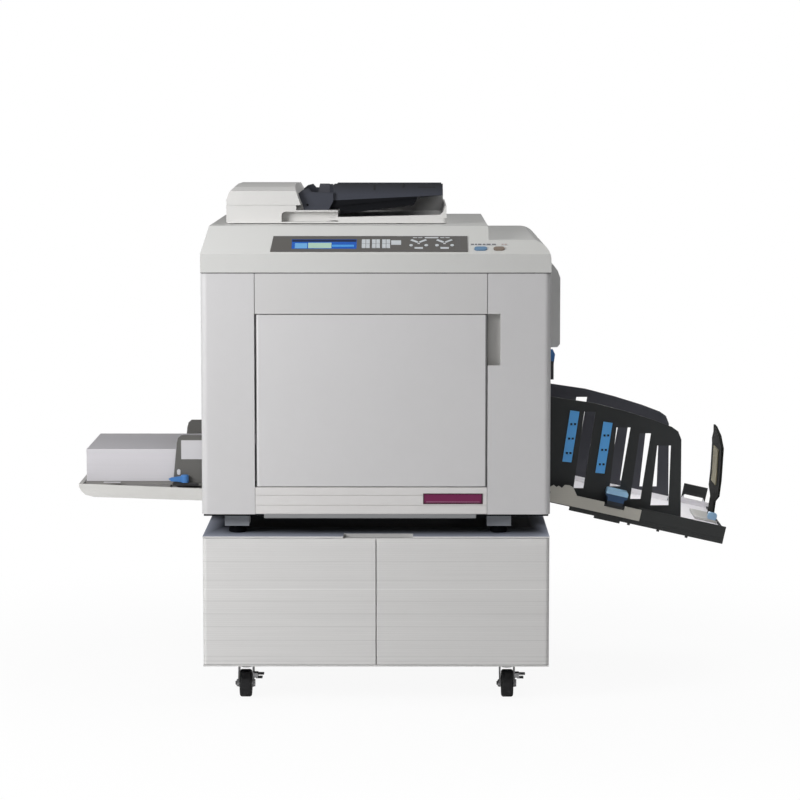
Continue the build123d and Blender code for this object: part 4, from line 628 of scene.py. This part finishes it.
# %% Stand and casters
CARCASS_FOOT = 81.9
CARCASS_TOP = 363.9
dress("cabinet_carcass cabinet_door_left cabinet_door_right", board, edge=0.8)
patch("cabinet_carcass", caster_steel, lambda x, y, z: z < CARCASS_FOOT)
patch("cabinet_carcass", stand_top_painted_light_and_shade, lambda x, y, z: z > CARCASS_TOP)
CORNERS = ("front_left", "front_right", "rear_left", "rear_right")
for corner in CORNERS:
    dress("caster_fork_" + corner, zinc, edge=0.4)
    dress("caster_wheel_" + corner, tyre, edge=0.4)
dress("brake_lever_front_left brake_lever_front_right", engine_black, edge=0.5)

# %% [markdown]
# The document feeder is the palest plastic on the machine, and its tray is nearly black, with
# painted shadow in black under its front flank. The lid node also holds the dark ears that carry
# the tray, and the stay at its end; the stay and the exit tray are painted paler as painted light.


# %% Document feeder
def under_tray(x, y, z):
    return (y < -149 and z < 1074) or (y < -153 and z < 1080 and x > -140)


def is_exit(x, y, z):
    return -142 < x < 90 and abs(y) < 150 and z > 1030


def is_ear(x, y, z):
    return 160.5 < abs(y) < 166.5 and -229 < x < -151 and z > 1053.2


def is_stay(x, y, z):
    return x > 25 and 160.5 < y < 166.5 and z > 1037


dress("adf_lid adf_top_cover", feeder, edge=1.2)
dress("adf_tray adf_guide_front adf_guide_rear", dark_tray, edge=0.8)
patch("adf_guide_front", guide_soft, lambda x, y, z: z > 1075)
# Painted shadow: the lower part of the tray's front flank is painted black.
patch("adf_tray", wedge_painted_shadow, under_tray)
# Painted light: the exit tray under the document tray is painted paler than the feeder.
patch("adf_lid", exit_tray_painted_light, is_exit)
patch("adf_lid", dark_tray, is_ear)
# Painted light: the stay, which lies in shade, is painted a pale grey.
patch("adf_lid", stay_painted_light, is_stay)
dress("adf_roller", rubber, edge=0.3)

# %% [markdown]
# On the feed side the tray is pale, with a dark plate under the paper and grey guides.

# %% Feed side
dress("feed_tray", pale_tray, edge=1.0)
patch_solid("feed_tray", plate_grey, lambda low, high: low.z > 441)
dress("feed_guide_front feed_guide_rear", guide_grey, edge=0.8)
dress("feed_lock_lever", blue_deep, edge=0.6)
dress("paper_stack", paper, edge=0.3)
dress("feed_roller", rubber, edge=0.4)

# %% [markdown]
# The receiving side is black, with a pale floor, metal rails, blue strips and two grips that
# are paler at the top.

# %% Receiving side
TRAY_FALL = math.radians(12.5)
TRAY_JOINT = (0.321, 0.432)
GRIP_FOOT = 0.014
GRIP_CAP = 0.029


def above_tray(x, z):
    """The height over the sloping tray, from a place in metres; x and z may be sockets."""
    across, up = x - TRAY_JOINT[0], z - TRAY_JOINT[1]
    return across * math.sin(TRAY_FALL) + up * math.cos(TRAY_FALL)


def is_inner_wall(x, y, z):
    return abs(y - 186) < 0.5 and above_tray(x * MM, z * MM) < 0.018


grip_blue = Finish("guide grip", 0.38, coat=0.1)
rise = above_tray(grip_blue.axis("X"), grip_blue.axis("Z"))
grip_foot = grip_blue.mix(rise > GRIP_FOOT, linear(26, 30, 36), linear(38, 74, 114))
grip_shade = grip_blue.mix(rise > GRIP_CAP, grip_foot, linear(172, 218, 252))
grip_blue.set(Base_Color=grip_blue.mix(grip_blue.noise(60.0) * 0.2, grip_shade, linear(60, 90, 124)))
dress("receiving_tray", black_tray, edge=0.8)
patch("receiving_tray", rail_metal, lambda x, y, z: abs(y) > 190.05)
patch("receiving_tray", floor_pale, is_inner_wall)
dress("receiving_tray_floor", floor_pale, edge=0.4)
dress("receiving_guide_front", guide_black, edge=0.6)
dress("receiving_guide_rear", guide_soft, edge=0.6)
for side in ("front", "rear"):
    name = "receiving_guide_" + side
    patch_solid(name, blue_strip, lambda low, high: high.z - low.z > 90 and high.x < 480)
    patch_solid(name, grip_blue, lambda low, high: high.x - low.x < 62 and high.z < 450)
dress("end_guide", leaf_grey, edge=0.8)
patch("end_guide", pale_tray, lambda x, y, z: x < 690 and z < 380 and abs(y) < 65)
# Painted highlight: the pad's beige stands for a highlight down the middle of the end leaf.
patch_solid("end_guide", end_pad_painted_highlight, lambda low, high: 60 < high.z - low.z < 100)
patch_solid("end_guide", blue_grip, lambda low, high: high.z - low.z < 30)

# %% [markdown]
# Behind the door are the print engine's steel frame, two drums and the rollers below them.

# %% Print engine
dress("machine_frame", frame_sheet, edge=0.4)
dress("drum_frame_1 drum_frame_2", drum_green, edge=0.8)
dress("drum_screen_1 drum_screen_2", mesh_steel, edge=0.4)
dress("ink_cartridge_1 ink_cartridge_2", ink_dark, edge=0.8)
dress("press_roller_1 press_roller_2", rubber, edge=0.5)
dress("conveyors master_unit disposal_box", engine_black, edge=0.8)
patch("master_unit", paper, lambda x, y, z: 49 < x < 111 and abs(y) < 156 and z < 869)
dress("drive_motor", motor_paint, edge=0.8)
dress("power_and_control_boards", circuit, edge=0.3)
patch_solid("power_and_control_boards", zinc, lambda low, high: high.x < -260)
print("dressed", sum(1 for piece in nodes.values() if piece.data.materials), "nodes")

# %% [markdown]
# Small things that aren't solids of their own, such as screws, labels, belts and the picture
# on the display, are drawn as mesh. Most are placed on the surface that carries them: a
# straight line is sent at the node, and the piece sits where that line meets it.


# %% Tools for small pieces
TREES = {}


def touch(name, start, heading):
    """Where a straight line first meets a node, as a point in millimetres."""
    if name not in TREES:
        mesh = nodes[name].data
        corners = [vertex.co for vertex in mesh.vertices]
        TREES[name] = BVHTree.FromPolygons(corners, [face.vertices[:] for face in mesh.polygons])
    return TREES[name].ray_cast(Vector(start) * MM, Vector(heading))[0] / MM


def facing(out, across, place):
    """A frame at a place in millimetres: its z points out and its x points across."""
    out = Vector(out).normalized()
    across = Vector(across).normalized()
    return Matrix.Translation(place) @ Matrix((across, out.cross(across), out)).transposed().to_4x4()


FRONT = ((0, -1, 0), (1, 0, 0))
BACK = ((0, 1, 0), (-1, 0, 0))
LEFT = ((-1, 0, 0), (0, -1, 0))
RIGHT = ((1, 0, 0), (0, 1, 0))
UP = ((0, 0, 1), (1, 0, 0))
DOWN = ((0, 0, -1), (1, 0, 0))
DECK = ((0, -math.sin(DECK_TILT), math.cos(DECK_TILT)), (1, 0, 0))


def seat(name, side, start):
    """The frame where a line from outside, sent straight at one side, meets a node."""
    inwards = [-value for value in side[0]]
    return facing(*side, touch(name, start, inwards))


print("back cover at y", round(touch("rear_cover", (0, 500, 700), (0, -1, 0)).y, 1), "mm")

# %% [markdown]
# A piece is drawn in millimetres from flat plates and turned shapes. When it is done, it rides
# on the body that carries it.


# %% A small piece
class Piece:
    """A piece of mesh made of plates and turned shapes, drawn in millimetres."""

    def __init__(self, name, finish, slot, body="machine"):
        self.name = name
        self.finish = finish
        self.slot = slot
        self.body = body
        self.mesh = bmesh.new()

    def skin(self, place, outlines):
        """Join closed outlines that have equally many points, and close both ends."""
        rows = [[self.mesh.verts.new(place @ Vector(point)) for point in line] for line in outlines]
        for low, high in zip(rows, rows[1:]):
            for here in range(len(low)):
                after = (here + 1) % len(low)
                self.mesh.faces.new((low[here], low[after], high[after], high[here]))
        self.mesh.faces.new(rows[0][::-1])
        self.mesh.faces.new(rows[-1])

    def plate(self, place, wide, high, thick, radius=0.6, rim=0.2):
        """A flat plate with round corners and a chamfered rim."""
        outlines = []
        for level, inset in ((0, 0), (thick - rim, 0), (thick, rim)):
            line = []
            for quarter, (sx, sy) in enumerate(((1, 1), (-1, 1), (-1, -1), (1, -1))):
                for step in range(5):
                    turn = math.radians(90 * quarter + 22.5 * step)
                    x = sx * (wide / 2 - radius) + (radius - inset) * math.cos(turn)
                    y = sy * (high / 2 - radius) + (radius - inset) * math.sin(turn)
                    line.append((x, y, level))
            outlines.append(line)
        self.skin(place, outlines)

    def turned(self, place, profile, sides=24):
        """A shape turned about its z axis; the profile is pairs of radius and height."""
        turns = [math.tau * side / sides for side in range(sides)]
        self.skin(place, [[(r * math.cos(t), r * math.sin(t), h) for t in turns] for r, h in profile])

    def screw(self, place, radius=4.0):
        """A domed screw head with a round recess."""
        shares = ((1.0, 0.0), (1.0, 0.18), (0.86, 0.38), (0.45, 0.50), (0.38, 0.25))
        self.turned(place, [(radius * wide, radius * high) for wide, high in shares])

    def bolt(self, place, radius=4.5, high=3.0):
        """A hexagon head on a round washer."""
        self.turned(place, [(radius * 1.3, 0.0), (radius * 1.3, 0.6), (radius * 1.2, 0.8)])
        self.turned(place, [(radius, 0.6), (radius, high - 0.5), (radius - 0.6, high)], sides=6)

    def done(self):
        """Turn the drawing into an object that rides on its body."""
        bmesh.ops.recalc_face_normals(self.mesh, faces=self.mesh.faces)
        bmesh.ops.scale(self.mesh, vec=(MM, MM, MM), verts=self.mesh.verts)
        mesh = bpy.data.meshes.new(self.name)
        self.mesh.to_mesh(mesh)
        self.mesh.free()
        mesh.materials.append(self.finish.material)
        piece = bpy.data.objects.new(self.name, mesh)
        bpy.context.scene.collection.objects.link(piece)
        shade(piece, edge=0)
        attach(piece, self.body)
        print(self.name, "has", len(mesh.polygons), "faces")


def plate_piece(name, finish, slot, body, place, *sizes, **rims):
    """A piece that is a single plate."""
    piece = Piece(name, finish, slot, body)
    piece.plate(place, *sizes, **rims)
    piece.done()


print("ready to add small pieces")

# %% [markdown]
# The name plate at the lower right of the front is bare: a dark rim, a magenta field and one
# pale line. Below the skirt, the body's lower edge shows as a rounded lip, painted grey as painted
# shade.

# %% Name plate and lip
PLATE = Vector((107.3, -367.5, 445.6))
for name, finish, wide, high, thick, drop in (
    ("name_plate_rim", plate_dark, 127.4, 22.8, 0.8, 0.0),
    ("name_plate_field", plate_magenta, 121.0, 17.4, 1.1, 0.4),
    ("name_plate_line", plate_pink, 114.0, 1.1, 1.3, -6.6),
):
    place = facing(*FRONT, PLATE + Vector((0, 0, drop)))
    plate_piece(name, finish, "casing_plastic", "machine", place, wide, high, thick, radius=0.5)
# The lip's grey is painted shade on the underside of the skirt's rounding.
place = facing(*FRONT, (-69.5, -363.6, 408.3))
sizes = (453.0, 10.4, 3.0)
plate_piece("skirt_lip", lip_painted_shade, "casing_plastic", "machine", place, *sizes, radius=2.0, rim=1.6)

# %% [markdown]
# The display's picture has no words: a dark band on top, and three lit areas below it. The
# panel and the deck beside it carry small printed marks in place of the real ones.


# %% Display and printed marks
def on_deck(x, along, off):
    """A frame on the deck from a place along and off it."""
    y = DECK_FRONT + along * math.cos(DECK_TILT) - off * math.sin(DECK_TILT)
    z = DECK_FOOT + along * math.sin(DECK_TILT) + off * math.cos(DECK_TILT)
    return facing(*DECK, (x, y, z))


def print_marks(name, finish, off, marks, thick=0.2):
    """Flat marks on the deck; each mark is its left, right, lowest and highest edge."""
    piece = Piece(name, finish, "panel_plastic")
    for left, right, low, high in marks:
        place = on_deck((left + right) / 2, (low + high) / 2, off)
        piece.plate(place, right - left, high - low, thick, radius=0.35, rim=0.08)
    piece.done()


GLASS_OFF = 1.1          # how far the display, the panel and the bare deck stand out
PANEL_OFF = 1.5
DECK_OFF = 1.0
print_marks("display_band", lcd_band, GLASS_OFF, [(-235.0, -99.0, 47.0, 55.8)])
print_marks("display_left_area", lcd_pale, GLASS_OFF, [(-229.0, -203.0, 21.0, 41.5)])
print_marks("display_middle_area", lcd_green, GLASS_OFF, [(-201.0, -151.5, 21.5, 43.0)])
print_marks("display_right_bar", lcd_bar, GLASS_OFF, [(-150.5, -103.5, 27.5, 35.0)])
bars = [(x, x + 0.9, 14.0, 62.0) for x in (113.0, 117.0, 121.0)]
borders = [(-272.0, 134.0, 9.2, 10.0), (-270.0, 134.0, 68.0, 68.8)]
print_marks("panel_lines", mark_dark, PANEL_OFF, bars + borders)
small = [(x, x + 9.0, 62.0, 64.5) for x in (22.0, 33.0, 80.0, 91.0)]
print_marks("panel_marks", mark_pale, PANEL_OFF, [(47.0, 76.0, 61.0, 65.5)] + small)
arrows = [(x - 2.5, x + 2.5, 37.5, 42.5) for x in (34.0, 89.0)]
print_marks("arrow_centres", mark_pale, PANEL_OFF, arrows)
ticks = ((145.0, 151.5), (153.5, 158.0), (160.0, 167.5), (170.0, 176.0), (178.0, 187.0), (189.5, 198.0))
print_marks("start_marks", mark_dark, DECK_OFF, [(left, right, 34.6, 39.4) for left, right in ticks])
stop_ticks = [(210.0, 214.5, 35.0, 39.0), (216.0, 221.0, 35.0, 39.0)]
print_marks("stop_marks", mark_brown, DECK_OFF, stop_ticks)

# %% [markdown]
# On the feed side there is a bare label on the front guide, with a small oval below it and a
# dark slab under the blue lever. A pale pad lies on the paper plate.

# %% Feed side trim
GUIDE = "feed_guide_front"
label = Piece("feed_guide_label", label_white, "guide_grey", GUIDE)
label.plate(seat(GUIDE, FRONT, (-462.0, -400, 525.0)), 53.0, 42.0, 0.4)
label.plate(seat(GUIDE, FRONT, (-494.3, -400, 475.5)), 7.6, 12.5, 0.8, radius=3.6)
label.done()
place = facing(*FRONT, (-478.0, -176.0, 450.4))
plate_piece("lever_slab", rubber, "guide_black", GUIDE, place, 56.0, 5.6, 1.6)
place = facing(*UP, (-640.0, -167.5, 454.0))
plate_piece("plate_pad", label_white, "tray_pale", "feed_tray", place, 37.0, 16.0, 0.5)

# %% [markdown]
# In the receiving tray, the rear guide has a pale strip along its foot, and the tray's front
# wall has a thin raised line near its lower edge.

# %% Receiving tray trim
ALONG_TRAY = (math.cos(TRAY_FALL), 0, -math.sin(TRAY_FALL))
place = facing((0, -1, 0), ALONG_TRAY, (469.0, 154.2, 405.6))
plate_piece("rear_guide_foot", floor_pale, "tray_pale", "receiving_guide_rear", place, 292.0, 11.5, 0.8)
place = facing((0, -1, 0), ALONG_TRAY, (608.0, -190.0, 351.0))
plate_piece("tray_side_line", black_tray, "dark_metal", "machine", place, 178.0, 2.0, 0.9)

# %% [markdown]
# The document tray has two stops on its front flank, a slot near its end and a small catch.
# Low ribs run along the exit tray, and a web braces its stay. The lid's white pad presses the
# original flat on the glass.

# %% Document tray and lid
clips = Piece("tray_stops", rubber, "dark_tray_plastic", "document_tray")
for x, z, wide, high, thick in (
    (-62.4, 1101.6, 3.6, 11.0, 1.2),
    (0.6, 1107.0, 3.6, 11.0, 1.6),
    (52.0, 1102.5, 38.0, 1.8, 0.5),
    (34.8, 1080.4, 3.4, 5.0, 0.8),
):
    clips.plate(seat("adf_tray", FRONT, (x, -300, z)), wide, high, thick)
clips.done()
ribs = Piece("exit_tray_ribs", feeder, "feeder_plastic", "document_lid")
for y in range(-130, 131, 26):
    low = touch("adf_lid", (-110.0, y, 1099.0), (0, 0, -1))
    high = touch("adf_lid", (70.0, y, 1099.0), (0, 0, -1))
    run = high - low
    place = facing(run.cross(Vector((0, -1, 0))), run, (low + high) / 2)
    ribs.plate(place, run.length, 3.0, 1.0, radius=1.2)
ribs.done()
# The web wears the stay's painted light.
web = Piece("stay_web", stay_painted_light, "feeder_plastic", "document_lid")
corners = ((-75.0, 1038.0), (42.0, 1038.0), (42.0, 1072.0))
web.skin(Matrix(), [[(x, y, z) for x, z in corners] for y in (166.6, 168.4)])
web.done()
place = facing(*DOWN, (-147.0, -5.0, 1025.0))
sizes = (424.0, 296.0, 0.8)
LID = "document_lid"
plate_piece("platen_pad", label_white, "feeder_plastic", LID, place, *sizes, radius=4.0, rim=0.4)

# %% [markdown]
# Screws hold the back panel, the side covers and the carcass, and bolts hold the steel frame
# and the casters. Each set is one mesh. Every caster also has a nut on its axle and a ball race
# over its fork, black as painted shade between the plate and the wheel.

# %% Screws and bolts
CASTER_LEFT = -341.0
CASTER_RIGHT = 227.0
screws = Piece("cover_screws", zinc, "casing_plastic")
for x in (-412.0, -180.0, 60.0, 298.0):
    for z in (430.0, 900.0):
        screws.screw(seat("rear_cover", BACK, (x, 500, z)))
for z in (440.0, 670.0, 900.0):
    screws.screw(seat("left_cover", LEFT, (-600, 300.0, z)))
    screws.screw(seat("right_cover", RIGHT, (600, 300.0, z)))
for x in (-405.0, -57.0, 291.0):
    for z in (100.0, 345.0):
        screws.screw(seat("cabinet_carcass", BACK, (x, 500, z)), 3.2)
screws.done()
frame_bolts = Piece("frame_bolts", zinc, "frame_steel")
for x, z in ((-400.0, 900.0), (285.0, 900.0), (-400.0, 440.0), (285.0, 440.0)):
    frame_bolts.bolt(seat("machine_frame", FRONT, (x, -345, z)))
    frame_bolts.bolt(seat("machine_frame", BACK, (x, 322, z)))
frame_bolts.done()
caster_bolts = Piece("caster_bolts", zinc, "caster_steel")
for x in (CASTER_LEFT, CASTER_RIGHT):
    for y in (-260.0, 275.0):
        for dx, dy in ((-25, -25), (25, -25), (25, 25), (-25, 25)):
            caster_bolts.bolt(facing(*DOWN, (x + dx, y + dy, 76.0)), 3.2, 2.4)
caster_bolts.done()

# %% Axle nuts and ball races
AXLES = ((CASTER_LEFT, -285.0), (CASTER_RIGHT, -285.0), (CASTER_LEFT, 250.0), (CASTER_RIGHT, 250.0))
RACE = ((14.0, 0), (15.5, 1.5), (15.5, 6.0), (13.0, 7.6))
for corner, (x, y) in zip(CORNERS, AXLES):
    nut = Piece("axle_nut_" + corner, caster_steel, "caster_steel", "caster_" + corner)
    nut.bolt(facing(*LEFT, (x - 20.0, y, 30.0)), 4.4, 3.0)
    nut.done()
    # The race is black as painted shade in the gap between the caster's plate and its wheel.
    race = Piece("caster_race_" + corner, tyre, "caster_steel", "caster_" + corner)
    race.turned(facing(*DOWN, (x, y + 25.0, 69.0)), RACE)
    race.done()

# %% [markdown]
# Inside, belts carry the sheets from the drums to the exit, and the boards and the motor
# behind the back plate have their components and screws. A cap closes each ink cartridge, and
# the power inlet at the back has a bare label.

# %% Inside
belts = Piece("conveyor_belts", rubber, "roller_rubber")
for x, long in ((-67.0, 148.0), (188.0, 214.0)):
    for y in range(-200, 201, 80):
        belts.plate(facing(*UP, (x, y, 594.0)), long, 26.0, 0.9, radius=1.0)
belts.done()
BOARDS = "power_and_control_boards"
CHIPS = ((210.0, 700.0, 24, 24), (245.0, 800.0, 18, 30), (120.0, 770.0, 16, 10), (230.0, 850.0, 30, 12))
CANS = ((100.0, 740.0), (100.0, 756.0), (262.0, 730.0), (262.0, 746.0), (200.0, 830.0))
CAN = ((6.0, 0), (6.0, 2), (5.6, 2.6), (6.0, 3.2), (6.0, 16.4), (5.2, 17.0))
chips = Piece("board_chips", engine_black, "board_green")
caps = Piece("board_capacitors", capacitor_blue, "board_green")
for x, z, wide, high in CHIPS:
    chips.plate(seat(BOARDS, BACK, (x, 330, z)), wide, high, 3.0)
for x, z in CANS:
    caps.turned(seat(BOARDS, BACK, (x, 330, z)), CAN)
chips.done()
caps.done()
motor_screws = Piece("motor_screws", zinc, "motor_metal")
for turn in range(4):
    angle = math.radians(45 + 90 * turn)
    start = (-67.0 + 30 * math.cos(angle), 330, 600.0 + 30 * math.sin(angle))
    motor_screws.screw(seat("drive_motor", BACK, start), 3.0)
motor_screws.done()

# %% Cartridge caps and inlet label
CAP = ((27.0, 0), (27.0, 1.0), (25.8, 1.8), (18.0, 1.8), (17.0, 1.2))
CAP_HEIGHT = 692.0
for number, x in ((1, -177.0), (2, 43.0)):
    cartridge = "ink_cartridge_%d" % number
    cap = Piece("cartridge_cap_%d" % number, guide_grey, "ink_plastic", cartridge)
    front = touch(cartridge, (x + 24, -330, CAP_HEIGHT), (0, 1, 0)).y
    cap.turned(facing(*FRONT, (x, front, CAP_HEIGHT)), CAP)
    cap.done()
place = seat("rear_cover", BACK, (-270.0, 500, 480.0))
plate_piece("inlet_label", label_white, "casing_plastic", "machine", place, 60.0, 32.0, 0.4)

# %% [markdown]
# The floor and the world are white to the camera, as in the photograph. Under the machine the
# floor is a little less than white, so that the casters stand on something.

# %% Floor
WHITE = (1.0, 1.0, 1.0, 1.0)
LIGHT_GREYS = ((0.80, 0.80, 0.80, 1.0), (0.84, 0.84, 0.84, 1.0))
UNDER_SHADE = 0.07       # how much darker the floor is under the machine
UNDER_REACH = (0.4, 1.7)
stone = Finish("studio floor", 0.9)
stone.set(Base_Color=stone.mix(stone.noise(0.8), *LIGHT_GREYS))
ray = stone.node("ShaderNodeLightPath", out="Is Camera Ray")
glow = stone.node("ShaderNodeEmission", Color=WHITE, Strength=1.0)
reach = stone.node("ShaderNodeVectorMath", {"operation": "LENGTH"}, out="Value", _0=stone.place)
nearness = 1 - stone.ramp(reach, *UNDER_REACH, kind="SMOOTHSTEP")
share = ray * (1 - nearness * UNDER_SHADE)
plain = Value(stone.tree, stone.shader.outputs[0])
blend = stone.node("ShaderNodeMixShader", _0=share, _1=plain, _2=glow)
stone.tree.links.new(blend.socket, stone.tree.nodes["Material Output"].inputs["Surface"])
FAR = 9000.0
CORNER_POINTS = [(-FAR, -FAR, 0), (FAR, -FAR, 0), (FAR, FAR, 0), (-FAR, FAR, 0)]
mesh = bpy.data.meshes.new("studio_floor")
mesh.from_pydata([Vector(point) * MM for point in CORNER_POINTS], [], [(0, 1, 2, 3)])
mesh.materials.append(stone.material)
floor = bpy.data.objects.new("studio_floor", mesh)
bpy.context.scene.collection.objects.link(floor)
print("floor ready")

# %% [markdown]
# The world is a dim dome that is a little brighter overhead, and plain white where the camera
# sees it. Most of the light comes from a soft lamp at the front left. Another hangs high on
# the right, one lights the back, and a weak one fills the front. Two narrow ones light the
# receiving tray: one over its floor and one on its front.

# %% World
world = bpy.data.worlds.new("studio")
bpy.context.scene.world = world
world.use_nodes = True
sky = Recipe(world.node_tree)
background = sky.tree.nodes["Background"]
DOME_LEVEL = 0.13
DOME_RISE = 0.08
DOME_LEAST = 0.07
heading = sky.node("ShaderNodeTexCoord", out="Generated")
up = sky.node("ShaderNodeSeparateXYZ", out="Z", Vector=heading)
dome = up.math("MAXIMUM", DOME_LEVEL + up * DOME_RISE, DOME_LEAST)
seen = sky.node("ShaderNodeLightPath", out="Is Camera Ray")
through = sky.node("ShaderNodeLightPath", out="Is Transmission Ray")
direct = seen.math("MAXIMUM", seen, through)
strength = direct + dome * (1 - direct)
feed(sky.tree, background.inputs["Color"], WHITE)
feed(sky.tree, background.inputs["Strength"], strength)
print("world ready")


# %% Lamps
def lamp(name, place, aim, size, power, spread=180.0):
    """A square soft lamp that faces a point; spread is its beam in degrees."""
    light = bpy.data.lights.new(name, "AREA")
    light.spread = math.radians(spread)
    light.size = size
    light.energy = power
    holder = bpy.data.objects.new(name, light)
    holder.location = place
    holder.rotation_euler = (Vector(aim) - Vector(place)).to_track_quat("-Z", "Y").to_euler()
    bpy.context.scene.collection.objects.link(holder)


lamp("key", (-1.8, -1.9, 1.55), (0.0, 0.0, 0.6), 1.0, 52.0)
lamp("overhead", (1.0, -0.3, 2.5), (0.2, 0.0, 0.8), 1.6, 15.0)
lamp("tray", (0.60, 0.03, 0.93), (0.59, 0.02, 0.4), 0.3, 0.34, spread=64.0)
lamp("tray front", (1.1, -2.2, 0.9), (0.62, -0.19, 0.45), 0.5, 0.14, spread=30.0)
lamp("fill", (-0.2, -2.7, 1.9), (0.0, 0.0, 0.9), 0.5, 3.6)
lamp("back", (0.5, 3.6, 0.5), (0.0, 0.0, 0.5), 1.0, 30.0)
bpy.context.scene.view_settings.view_transform = "Standard"
print(len(bpy.data.lights), "lamps")
